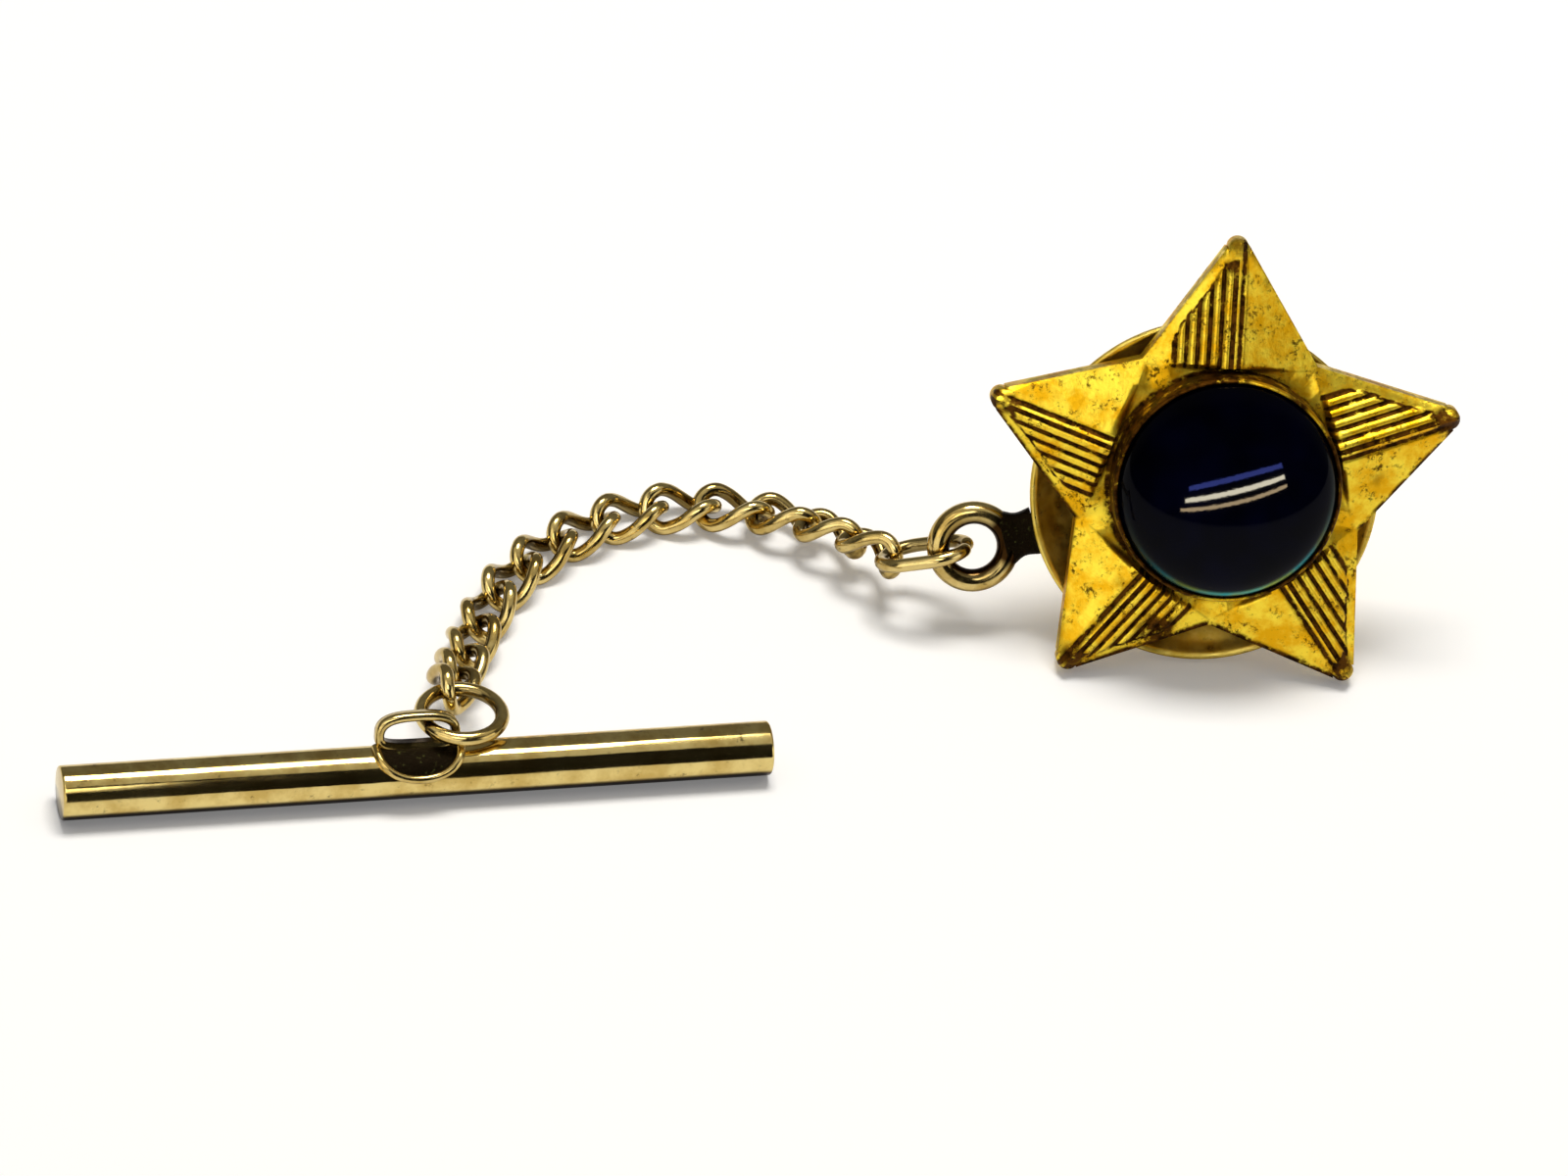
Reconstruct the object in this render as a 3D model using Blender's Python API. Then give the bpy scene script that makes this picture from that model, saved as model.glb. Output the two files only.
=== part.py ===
"""Tie tack: a star head with a domed stone, a ball clutch, a curb chain and a toggle bar.

Sizes are in millimetres and become metres in add_piece. Z is up and the table is at z = 0.
The head and clutch are drawn upright, with the pin along +Y, and then leaned back to their rest.
"""
import bmesh
import bpy
from math import asin, atan2, cos, pi, radians, sin, sqrt, tan
from mathutils import Matrix, Vector

MM = 0.001

# Where the object stands
SHIFT = Vector((14.3716, 3.1900, 0.0))
LEAN = radians(26.0)
STAR_RADIUS = 7.75
NUB = 0.35
HEAD_HEIGHT = ((STAR_RADIUS - NUB) * cos(radians(36.0)) + NUB) * cos(LEAN)
PIN_X = -0.36
PIN_Z = -0.55

# Star
STAR_CORNER = 8.05
STAR_INNER = 4.69
STAR_EDGE_Y = -0.55
PLATEAU_Y = -0.80
ARM_BASE = 3.66
RIDGE_BASE_Y = -1.42
RIDGE_TIP_Y = -0.86
RIDGE_TIP = 7.28
RIB_STARTS = (0.16, 0.50, 0.84, 1.18, 1.52)
RIB_WIDTH = 0.22
RIB_SLOPE = 0.05
RIB_HEIGHT = 0.10
RIB_MARGIN = 0.66
GROOVE_DEPTH = 0.07

# Chain
WIRE = 0.22
PITCH = 1.715
HOOK_GAP = 0.09
LINK_HALF_WIDTH = 0.64
LINK_TWIST = radians(-45.0)
LINK_POINTS = 22
WIRE_SIDES = 8
FIRST_PIVOT = Vector((-9.90, -0.13, 1.82))
HEADINGS = (130, 140, 153, 170, 188, 203, 215, 226, 237, 248, 253, 256, 260)
SLOPES = (-15, -12, -9, -4, 0, 0, 0, 0, 0, 0, 8, 18, 24)
ROLLS = (50, 38, 25, 12, 0, 0, 0, 0, 0, 0, -8, -17, -29)
HOOK = WIRE + HOOK_GAP / 2.0
END_SLACK = 0.02

# Loop on the clutch plate, in the head's own frame
LOOP_CENTRE = Vector((-7.446, 0.68, -2.82))
LOOP_OUTER = 1.46
LOOP_HOLE = 0.84
LOOP_FRONT_Y = 0.36
LOOP_BACK_Y = 1.00
LOOP_NECK = 0.62
END_LINK_WIDTH = 0.98

# Inside of the clutch, in the pin's own frame
BALL_RADIUS = 0.35
BALL_Y = 2.2
BALL_OUT = 0.87
SPRING_FRONT_Y = 3.22
SPRING_RUN = 1.02
SPRING_RADIUS = 1.42
SPRING_WIRE = 0.12
SPRING_TURNS = 3.0
SPRING_STEPS = 42

# Toggle bar, its eye and the ring between the eye and the chain
BAR_YAW = radians(8.8)
BAR_LENGTH = 22.2
BAR_RADIUS = 0.85
EYE_LEAN = radians(20.0)
EYE_HALF_WIDTH = 1.32
EYE_REACH = 1.95
EYE_WALL = 0.25
EYE_DEPTH = 0.22
RING_ALONG_BAR = 0.48
RING_WIRE = 0.21
RING_RADIUS = 1.25
RING_RIGHT = 1.03
RING_BACK = 0.62
RING_TURN = radians(95.0)
SEAT_REACH = 1.36

HEAD = Matrix.Translation((0.0, 0.0, HEAD_HEIGHT)) @ Matrix.Rotation(-LEAN, 4, "X")
PIN = HEAD @ Matrix.Translation((PIN_X, 0.0, PIN_Z))
PIN_ORIGIN = PIN.translation


def clear_scene():
    for item in list(bpy.data.objects):
        bpy.data.objects.remove(item, do_unlink=True)


def metal(name, colour, rough, metallic=1.0):
    material = bpy.data.materials.new(name)
    material.use_nodes = True
    shader = material.node_tree.nodes["Principled BSDF"]
    shader.inputs["Base Color"].default_value = (*colour, 1.0)
    shader.inputs["Roughness"].default_value = rough
    shader.inputs["Metallic"].default_value = metallic
    return material


def face_outward(mesh):
    work = bmesh.new()
    work.from_mesh(mesh)
    bmesh.ops.recalc_face_normals(work, faces=work.faces)
    work.to_mesh(mesh)
    work.free()


def add_piece(name, points, faces, material, pivot=None):
    """Makes one object from points in millimetres, with its origin at pivot."""
    origin = Vector((0.0, 0.0, 0.0)) if pivot is None else pivot + SHIFT
    mesh = bpy.data.meshes.new(name)
    mesh.from_pydata([(Vector(p) + SHIFT - origin) * MM for p in points], [], faces)
    face_outward(mesh)
    mesh.materials.append(material)
    piece = bpy.data.objects.new(name, mesh)
    piece.location = origin * MM
    bpy.context.scene.collection.objects.link(piece)
    return piece


def placed(points, matrix):
    return [matrix @ Vector(p) for p in points]


def cut_with(piece, cutter):
    cutter.hide_render = True
    cutter.display_type = "WIRE"
    change = piece.modifiers.new("cut", "BOOLEAN")
    change.operation = "DIFFERENCE"
    change.solver = "EXACT"
    change.object = cutter


def lathe(profile, count):
    """Points and faces of a closed (radius, y) outline turned about Y; it runs front to back outside."""
    points, rings, faces = [], [], []
    for radius, y in profile:
        if radius == 0.0:
            rings.append([len(points)] * count)
            points.append((0.0, y, 0.0))
            continue
        rings.append(list(range(len(points), len(points) + count)))
        for k in range(count):
            turn = 2.0 * pi * k / count
            points.append((radius * cos(turn), y, radius * sin(turn)))
    for i, ring in enumerate(rings):
        after = rings[(i + 1) % len(rings)]
        for k in range(count):
            m = (k + 1) % count
            corners = list(dict.fromkeys((ring[k], ring[m], after[m], after[k])))
            if len(corners) > 2:
                faces.append(corners)
    return points, faces


def sweep(path, radius, sides, closed=True):
    """Round wire along a path of points."""
    count = len(path)
    path = [Vector(p) for p in path]
    tangents = []
    for k in range(count):
        before = path[k - 1] if closed or k > 0 else path[k]
        after = path[(k + 1) % count] if closed or k < count - 1 else path[k]
        tangents.append((after - before).normalized())
    side = tangents[0].orthogonal().normalized()
    frames = [side]
    for k in range(1, count):
        turn = tangents[k - 1].rotation_difference(tangents[k])
        side = turn @ side
        frames.append((side - tangents[k] * side.dot(tangents[k])).normalized())
    slip = 0.0
    if closed:
        last = tangents[-1].rotation_difference(tangents[0]) @ frames[-1]
        slip = atan2(last.cross(frames[0]).dot(tangents[0]), last.dot(frames[0]))
    points, faces = [], []
    for k in range(count):
        across = tangents[k].cross(frames[k])
        for s in range(sides):
            turn = 2.0 * pi * s / sides + slip * k / count
            points.append(path[k] + radius * (cos(turn) * frames[k] + sin(turn) * across))
    for k in range(count if closed else count - 1):
        m = (k + 1) % count
        for s in range(sides):
            t = (s + 1) % sides
            faces.append((k * sides + s, k * sides + t, m * sides + t, m * sides + s))
    if not closed:
        faces.append(tuple(reversed(range(sides))))
        faces.append(tuple(range((count - 1) * sides, count * sides)))
    return points, faces


def plate_with_hole(outer, inner, low, high):
    """Solid between two outlines with the same number of (x, z) points, from y = low to y = high."""
    count = len(outer)
    points = []
    for outline in (outer, inner):
        for y in (low, high):
            points += [(x, y, z) for x, z in outline]
    faces = []
    for k in range(count):
        m = (k + 1) % count
        a, b, c, d = (n * count for n in range(4))
        faces.append((a + k, a + m, c + m, c + k))
        faces.append((b + m, b + k, d + k, d + m))
        faces.append((a + m, a + k, b + k, b + m))
        faces.append((c + k, c + m, d + m, d + k))
    return points, faces


# Star

def rib_offsets():
    """Offsets from the ridge where the ribbed half changes height, each with its rise."""
    found = [(0.0, 0.0), (0.11, 0.0)]
    for start in RIB_STARTS:
        end = start + RIB_WIDTH
        found.append((start, 0.0))
        found.append((start + RIB_SLOPE, RIB_HEIGHT))
        found.append((end - RIB_SLOPE, RIB_HEIGHT))
        found.append((end, 0.0))
    return found


def plain_offsets():
    """The same for the plain half, which has one groove beside the ridge."""
    groove = [(0.14, -GROOVE_DEPTH), (0.22, -GROOVE_DEPTH)]
    return [(0.0, 0.0), (0.09, 0.0), *groove, (0.28, 0.0), (0.8, 0.0), (1.6, 0.0), (2.3, 0.0)]


def edge_reach(offset):
    """Distance from the star's centre, along the arm, of the arm's edge at this offset."""
    valley = (STAR_INNER * cos(radians(36.0)), STAR_INNER * sin(radians(36.0)))
    along = STAR_CORNER + (valley[0] - STAR_CORNER) * offset / valley[1]
    if offset >= NUB:
        return along
    return min(along, STAR_RADIUS - NUB + sqrt(NUB ** 2 - offset ** 2))


def facet_y(along, offset, rise):
    """Height of an arm's facet above its edge, falling from the ridge to the edge."""
    share = min(1.0, max(0.0, (along - ARM_BASE) / (RIDGE_TIP - ARM_BASE)))
    ridge = RIDGE_BASE_Y + (RIDGE_TIP_Y - RIDGE_BASE_Y) * share
    width = max(0.22, (STAR_CORNER - along) / (STAR_CORNER - ARM_BASE) * 2.76)
    slope = min(1.0, offset / width)
    return ridge + (STAR_EDGE_Y - 0.03 - ridge) * slope - rise


def half_arm(columns, side):
    """Rows of (along, across, y) points of one half of an arm, from the base line to the edge."""
    rows = []
    for offset, rise in columns:
        far = edge_reach(offset)
        near = max((ARM_BASE + far) / 2.0, far - RIB_MARGIN)
        after = near + RIB_SLOPE
        row = [(ARM_BASE, offset * side, facet_y(ARM_BASE, offset, rise))]
        row.append((near, offset * side, facet_y(near, offset, rise)))
        row.append((after, offset * side, facet_y(after, offset, 0.0)))
        row.append((far, offset * side, STAR_EDGE_Y))
        rows.append(row)
    return rows


def star_mesh():
    """The star as a closed mesh: back, edge wall, faceted arms and the five-sided plateau."""
    points, faces, index = [], [], {}

    def at(x, y, z):
        key = (round(x, 4), round(y, 4), round(z, 4))
        if key not in index:
            index[key] = len(points)
            points.append(key)
        return index[key]

    def face(*corners):
        ring = list(dict.fromkeys(corners))
        if len(ring) > 2:
            faces.append(ring)

    half = radians(36.0)
    valley_across = STAR_INNER * sin(half)
    base_across = ARM_BASE * tan(half)
    back, plateau = [], []
    for arm in range(5):
        turn = radians(90.0 + 72.0 * arm)

        def spot(along, across, y):
            x = along * cos(turn) - across * sin(turn)
            z = along * sin(turn) + across * cos(turn)
            return at(x, y, z)

        edge, base = [], []
        for side in (-1, 1):
            columns = rib_offsets() if side > 0 else plain_offsets()
            rows = half_arm(columns, side)
            rows.append([(ARM_BASE, base_across * side, STAR_EDGE_Y - 0.08)] * 3
                        + [(edge_reach(base_across), base_across * side, STAR_EDGE_Y)])
            spots = [[spot(*p) for p in row] for row in rows]
            corner = spot(STAR_INNER * cos(half), valley_across * side, STAR_EDGE_Y)
            for one, two in zip(spots, spots[1:]):
                for j in range(3):
                    quad = (one[j], one[j + 1], two[j + 1], two[j])
                    face(*(quad if side > 0 else tuple(reversed(quad))))
            last = (spots[-1][0], spots[-1][3], corner)
            face(*(last if side > 0 else tuple(reversed(last))))
            low = [spot(row[0][0], row[0][1], PLATEAU_Y) for row in rows]
            line = [(row[3], spot(p[3][0], p[3][1], 0.0)) for row, p in zip(spots, rows)]
            line.append((corner, spot(STAR_INNER * cos(half), valley_across * side, 0.0)))
            ends = [row[0] for row in spots]
            order = range(len(line)) if side > 0 else reversed(range(1, len(line)))
            edge += [line[k] for k in order]
            order = range(len(low)) if side > 0 else reversed(range(1, len(low)))
            base += [(ends[k], low[k]) for k in order]
        for one, two in zip(edge, edge[1:]):
            face(one[0], one[1], two[1], two[0])
        for one, two in zip(base, base[1:]):
            face(one[0], two[0], two[1], one[1])
        back += [b for _, b in edge]
        plateau += [low for _, low in base]
    face(*reversed(list(dict.fromkeys(back))))
    face(*dict.fromkeys(plateau))
    return points, faces


# Chain

def curb_path(half_length):
    """Centre line of one link along X, with round ends turned opposite ways about X."""
    path = []
    for x, across, _ in oval_path(half_length, LINK_HALF_WIDTH, LINK_POINTS):
        share = max(-1.0, min(1.0, x / (0.85 * half_length)))
        twist = LINK_TWIST * sin(share * pi / 2.0)
        path.append((x, across * cos(twist), across * sin(twist)))
    return path


def oval_path(half_length, half_width, count):
    """Centre line of a flat link along X with round ends."""
    straight = half_length - half_width
    path = []
    for k in range(count):
        t = 2.0 * pi * (k + 0.5) / count
        shift = straight if cos(t) > 0.0 else -straight
        path.append((shift + half_width * cos(t), half_width * sin(t), 0.0))
    return path


def frame_at(centre, along, up_hint, roll=0.0):
    """Matrix with X along a direction and Z as near as it can be to up_hint, then rolled about X."""
    x = Vector(along).normalized()
    y = Vector(up_hint).cross(x).normalized()
    z = x.cross(y)
    turn = Matrix((x, y, z)).transposed().to_4x4()
    return Matrix.Translation(centre) @ turn @ Matrix.Rotation(roll, 4, "X")


def chain_places():
    """For each curb link its pivot with the link before, its direction, and the pivot after it."""
    places = []
    pivot = FIRST_PIVOT.copy()
    for heading, slope in zip(HEADINGS, SLOPES):
        h, s = radians(heading), radians(slope)
        along = Vector((cos(h) * cos(s), sin(h) * cos(s), sin(s)))
        after = pivot + along * PITCH
        places.append((pivot, along, after))
        pivot = after
    return places


def add_chain(material):
    path = curb_path(PITCH / 2.0 + HOOK)
    places = chain_places()
    for k, (pivot, along, after) in enumerate(places):
        frame = frame_at((pivot + after) / 2.0, along, (0, 0, 1), radians(ROLLS[k]))
        points, faces = sweep(placed(path, frame), WIRE, WIRE_SIDES)
        add_piece(f"chain_link_{k + 1:02d}", points, faces, material, pivot)
    return places


def add_end_link(material):
    """The oval link from the clutch's loop to the first curb link."""
    loop = HEAD @ LOOP_CENTRE
    axis = HEAD.to_3x3() @ Vector((0, 1, 0))
    reach = FIRST_PIVOT - loop
    outward = (reach - axis * reach.dot(axis)).normalized()
    start = loop + outward * (LOOP_HOLE - WIRE - 0.40)
    along = (FIRST_PIVOT - start).normalized()
    end = FIRST_PIVOT + along * (HOOK + END_SLACK)
    frame = frame_at((start + end) / 2.0, along, axis.cross(outward))
    path = oval_path((end - start).length / 2.0, END_LINK_WIDTH, 28)
    points, faces = sweep(placed(path, frame), WIRE, WIRE_SIDES)
    add_piece("end_link", points, faces, material, loop)


def bar_layout(last):
    """Places the end ring from the last link, and the bar from the ring.

    Gives the ring's centre, its two directions, the seat in the bar's eye and the bar's centre.
    """
    _, along, after = last
    right = Vector((cos(BAR_YAW), sin(BAR_YAW), 0.0))
    back = Vector((-sin(BAR_YAW), cos(BAR_YAW), 0.0))
    out = back * sin(EYE_LEAN) + Vector((0.0, 0.0, cos(EYE_LEAN)))
    hooked = after - along * (HOOK + RING_WIRE - WIRE + END_SLACK)
    seat_height = BAR_RADIUS + out.z * SEAT_REACH
    tilt = asin((seat_height - hooked.z) / (RING_BACK + RING_RADIUS * sin(RING_TURN)))
    inward = back * cos(tilt) - Vector((0.0, 0.0, sin(tilt)))
    centre = hooked - RING_RADIUS * (cos(RING_TURN) * right + sin(RING_TURN) * inward)
    seat = centre - RING_RIGHT * right - RING_BACK * inward
    bar = seat - RING_ALONG_BAR * right - SEAT_REACH * out
    return centre, right, inward, seat, bar


def add_end_ring(material, last):
    centre, right, inward, _, _ = bar_layout(last)
    path = []
    for k in range(28):
        t = 2.0 * pi * k / 28
        path.append(centre + RING_RADIUS * (cos(t) * right + sin(t) * inward))
    points, faces = sweep(path, RING_WIRE, WIRE_SIDES)
    add_piece("end_ring", points, faces, material, last[2])


# Clutch

def add_loop(material):
    """Rolled loop with the neck that joins it to the plate's edge."""
    centre = Vector((LOOP_CENTRE.x - PIN_X, LOOP_CENTRE.z - PIN_Z))
    away = atan2(centre.y, centre.x)
    neck_end = centre.length - 5.55
    corner = atan2(LOOP_NECK, neck_end)
    join = asin(LOOP_NECK / LOOP_OUTER)
    steps = 24
    turns = [join + (2.0 * pi - 2.0 * join) * k / steps for k in range(steps + 1)]
    outer = [(LOOP_OUTER * cos(t), LOOP_OUTER * sin(t)) for t in turns]
    inner_turns = turns[:]
    for t in (-corner, 0.0, corner):
        outer.append((neck_end, neck_end * tan(t)))
        inner_turns.append(t)
    inner = [(LOOP_HOLE * cos(t), LOOP_HOLE * sin(t)) for t in inner_turns]
    spin = Matrix.Rotation(-(away + pi), 4, "Y")
    points, faces = plate_with_hole(outer, inner, LOOP_FRONT_Y, LOOP_BACK_Y)
    frame = HEAD @ Matrix.Translation((LOOP_CENTRE.x, 0.0, LOOP_CENTRE.z)) @ spin
    add_piece("chain_loop", placed(points, frame), faces, material, PIN_ORIGIN)


def add_turned(name, profile, count, material, frame, pivot):
    points, faces = lathe(profile, count)
    return add_piece(name, placed(points, frame), faces, material, pivot)


def add_shell(gold):
    """The dished plate, the barrel with its conical bore, and the cap that is pulled to let go."""
    plate = [(0.64, 1.05), (2.6, 1.02), (4.3, 0.80), (5.0, 0.50), (5.3, 0.16), (5.42, 0.12),
             (5.5, 0.18), (5.5, 0.36), (5.26, 0.60), (4.5, 1.05), (2.7, 1.28), (0.64, 1.30)]
    add_turned("clutch_plate", plate, 44, gold, PIN, PIN_ORIGIN)
    barrel = [(0.66, 1.33), (2.55, 1.33), (2.62, 1.5), (2.40, 2.4), (2.40, 3.6), (2.62, 4.5),
              (2.55, 4.68), (1.14, 4.68), (1.14, 4.40), (1.90, 4.40), (1.90, 2.82), (1.48, 2.82),
              (1.10, 1.62), (0.66, 1.62)]
    add_turned("clutch_barrel", barrel, 28, gold, PIN, PIN_ORIGIN)
    cap = [(0.0, 5.2), (0.62, 5.2), (0.62, 4.8), (3.05, 4.8), (3.155, 4.9), (3.155, 5.38),
           (3.035, 5.5), (0.0, 5.5)]
    add_turned("clutch_cap", cap, 40, gold, PIN, PIN_ORIGIN)


def add_cage(steel):
    """The sleeve that carries the three locking balls, with a window for each ball."""
    cage = [(0.62, 1.68), (1.0, 1.68), (1.0, 2.88), (1.70, 2.88), (1.70, 3.06), (1.0, 3.06),
            (1.0, 4.78), (0.62, 4.78)]
    sleeve = add_turned("ball_cage", cage, 30, steel, PIN, PIN_ORIGIN)
    ball = [(0.0, -BALL_RADIUS)]
    for n in range(1, 8):
        t = pi * n / 8.0
        ball.append((BALL_RADIUS * sin(t), -BALL_RADIUS * cos(t)))
    ball.append((0.0, BALL_RADIUS))
    bore = [(0.0, -0.7), (0.41, -0.7), (0.41, 0.7), (0.0, 0.7)]
    for k in range(3):
        turn = Matrix.Rotation(radians(90.0 + 120.0 * k), 4, "Y")
        seat = PIN @ Matrix.Translation((0.0, BALL_Y, 0.0)) @ turn
        hub = seat @ Matrix.Translation((BALL_OUT, 0.0, 0.0))
        add_turned(f"lock_ball_{k + 1}", ball, 12, steel, hub, PIN_ORIGIN)
        drill = hub @ Matrix.Rotation(radians(90.0), 4, "Z")
        cut_with(sleeve, add_turned(f"window_{k + 1}", bore, 14, steel, drill, PIN_ORIGIN))


def add_spring(steel):
    coil = []
    for k in range(SPRING_STEPS + 1):
        share = k / SPRING_STEPS
        turn = 2.0 * pi * SPRING_TURNS * share
        y = SPRING_FRONT_Y + SPRING_RUN * share
        coil.append((SPRING_RADIUS * cos(turn), y, SPRING_RADIUS * sin(turn)))
    points, faces = sweep(placed(coil, PIN), SPRING_WIRE, 6, closed=False)
    add_piece("clutch_spring", points, faces, steel, PIN_ORIGIN)


# Head

def add_head(star_gold, gold, stone):
    points, faces = star_mesh()
    add_piece("star_body", placed(points, HEAD), faces, star_gold)
    bezel = [(0.0, -0.99), (3.43, -0.99), (3.43, -1.66), (3.38, -1.86), (3.45, -1.90), (3.53, -1.80),
             (3.56, -0.84), (3.50, -0.82), (0.0, -0.82)]
    add_turned("bezel_cup", bezel[::-1], 44, star_gold, HEAD, None)
    dome = [(0.0, -1.02), (3.38, -1.02), (3.38, -1.62)]
    for n in range(8):
        t = radians(90.0 * n / 8.0)
        dome.append((3.31 * cos(t), -1.68 - 1.42 * sin(t)))
    dome.append((0.0, -3.10))
    add_turned("cabochon", dome, 40, stone, HEAD, None)
    post = [(0.0, 0.03), (1.15, 0.03), (1.15, 0.22), (0.5, 0.42), (0.5, 3.55), (0.42, 3.7),
            (0.42, 3.9), (0.5, 4.05), (0.5, 4.25), (0.1, 4.95), (0.0, 4.95)]
    add_turned("tack_post", post[::-1], 24, gold, PIN, None)


# Toggle bar

def squared(value):
    """Bends a sine or cosine so that an oval gets fuller corners."""
    return abs(value) ** 0.7 * (1.0 if value > 0.0 else -1.0)


def add_bar(gold, last):
    bevel = 0.07
    ends = BAR_LENGTH / 2.0
    _, _, _, pivot, bar = bar_layout(last)
    profile = [(0.0, -ends), (BAR_RADIUS - bevel, -ends), (BAR_RADIUS, bevel - ends),
               (BAR_RADIUS, ends - bevel), (BAR_RADIUS - bevel, ends), (0.0, ends)]
    along = Matrix.Rotation(BAR_YAW - radians(90.0), 4, "Z")
    frame = Matrix.Translation(bar) @ along
    add_turned("toggle_bar", profile, 36, gold, frame, pivot)
    bore = [(0.0, -3.0), (BAR_RADIUS + 0.02, -3.0), (BAR_RADIUS + 0.02, 3.0), (0.0, 3.0)]
    saddle = add_turned("saddle_cut", bore, 36, gold, frame, pivot)
    outer, inner = [], []
    middle = 1.20
    for k in range(36):
        t = 2.0 * pi * k / 36
        lift = (EYE_REACH - middle) if sin(t) > 0.0 else 0.62
        hole = (EYE_REACH - EYE_WALL - middle) if sin(t) > 0.0 else 0.20
        x, z = squared(cos(t)), squared(sin(t))
        outer.append((EYE_HALF_WIDTH * x, middle + lift * z))
        inner.append(((EYE_HALF_WIDTH - EYE_WALL) * x, middle + hole * z))
    points, faces = plate_with_hole(outer, inner, -EYE_DEPTH, EYE_DEPTH)
    turn = Matrix.Rotation(BAR_YAW, 4, "Z") @ Matrix.Rotation(-EYE_LEAN, 4, "X")
    stand = Matrix.Translation(bar) @ turn
    eye = add_piece("bar_eye", placed(points, stand), faces, gold, pivot)
    cut_with(eye, saddle)


def main():
    clear_scene()
    star_gold = metal("antique gold", (0.80, 0.50, 0.14), 0.35)
    gold = metal("pale gold", (0.86, 0.72, 0.40), 0.22)
    steel = metal("spring steel", (0.62, 0.62, 0.60), 0.3)
    stone = metal("navy glass", (0.01, 0.015, 0.04), 0.05, metallic=0.0)
    add_head(star_gold, gold, stone)
    add_shell(gold)
    add_cage(steel)
    add_spring(steel)
    add_loop(gold)
    add_end_link(gold)
    places = add_chain(gold)
    add_end_ring(gold, places[-1])
    add_bar(gold, places[-1])


main()
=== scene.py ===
"""Looks of the tie tack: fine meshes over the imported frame, gold and stone finishes, light and camera.

Sizes are in millimetres, in the same frame as the part's source, unless a heading says otherwise. They become
metres where a piece, a lamp or the camera is made.
"""
from math import asin, atan2, cos, degrees, exp, pi, radians, sin, sqrt, tan

import bpy
from mathutils import Matrix, Vector


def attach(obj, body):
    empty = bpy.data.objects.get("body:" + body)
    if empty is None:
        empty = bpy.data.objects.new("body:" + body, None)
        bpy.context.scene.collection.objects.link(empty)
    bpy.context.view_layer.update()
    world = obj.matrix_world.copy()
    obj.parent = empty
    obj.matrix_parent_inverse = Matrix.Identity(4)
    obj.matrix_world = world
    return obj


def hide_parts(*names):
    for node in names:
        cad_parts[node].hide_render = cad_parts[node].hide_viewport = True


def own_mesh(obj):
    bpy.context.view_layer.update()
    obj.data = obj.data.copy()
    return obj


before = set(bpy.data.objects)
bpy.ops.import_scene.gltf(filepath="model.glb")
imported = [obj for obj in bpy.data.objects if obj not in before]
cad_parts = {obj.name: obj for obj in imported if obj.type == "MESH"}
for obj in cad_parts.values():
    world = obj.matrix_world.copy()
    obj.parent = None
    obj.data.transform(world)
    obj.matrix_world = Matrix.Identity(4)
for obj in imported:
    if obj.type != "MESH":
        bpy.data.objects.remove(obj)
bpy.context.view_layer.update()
MM = 0.001

# Where the object stands
SHIFT = Vector((14.3716, 3.1900, 0.0))
LEAN = radians(26.0)
ARM_COUNT = 5
ARM_HALF_ANGLE = radians(180.0 / ARM_COUNT)
STAR_RADIUS = 7.75
NUB = 0.35
HEAD_HEIGHT = ((STAR_RADIUS - NUB) * cos(ARM_HALF_ANGLE) + NUB) * cos(LEAN)
PIN_X = -0.36
PIN_Z = -0.55
SETTING_X = 0.08
HEAD = Matrix.Translation((0.0, 0.0, HEAD_HEIGHT)) @ Matrix.Rotation(-LEAN, 4, "X")
PIN = HEAD @ Matrix.Translation((PIN_X, 0.0, PIN_Z))
SETTING = HEAD @ Matrix.Translation((SETTING_X, 0.0, 0.0))
BACKWARD = HEAD.to_3x3() @ Vector((0.0, 1.0, 0.0))

# Star
STAR_CORNER = 8.05
STAR_INNER = 4.69
STAR_EDGE_Y = -0.55
WALL_MIDDLE_Y = STAR_EDGE_Y + 0.3
EDGE_DROP = 0.03
BRINK_WIDTH = 0.16
PLATEAU_Y = -0.80
PLATEAU_HOLE = 3.30
PLATEAU_ROWS = 8
PLATEAU_FALL_ROWS = 6
ARM_BASE = 3.66
ARM_FOOT_RUN = 0.14
ARM_FOOT_SHARE = 0.15
FACET_BASE_WIDTH = 2.76
FACET_TIP_WIDTH = 0.22
RIDGE_BASE_Y = -1.42
RIDGE_TIP_Y = -0.86
RIDGE_TIP = 7.28
RIB_COUNT = 5
RIB_FIRST = 0.16
RIB_STEP = 0.34
RIB_STARTS = [round(RIB_FIRST + RIB_STEP * k, 2) for k in range(RIB_COUNT)]
RIB_WIDTH = 0.22
RIB_SKIRT = 0.02
RIB_CROWN = 0.6
RIB_HEIGHT = 0.10
RIB_MARGIN = 0.66
RIB_UNEVEN = 0.10
RIB_END_RUN = 0.07
RIBS_ACROSS = RIB_STARTS[-1] + RIB_WIDTH
RIBS_BORDER = 0.10
GROOVE_OFFSET = 0.17
GROOVE_WIDTH = 0.085
GROOVE_DEPTH = 0.07
GROOVE_STOP = 0.55
GROOVE_END_RUN = 0.2
COLUMN_STEP = 0.035
ARM_ROWS = 30
ARM_SHARES = [0.0, 0.008, 0.02] + [k / ARM_ROWS for k in range(1, ARM_ROWS)] + [0.985, 1.0]

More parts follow.
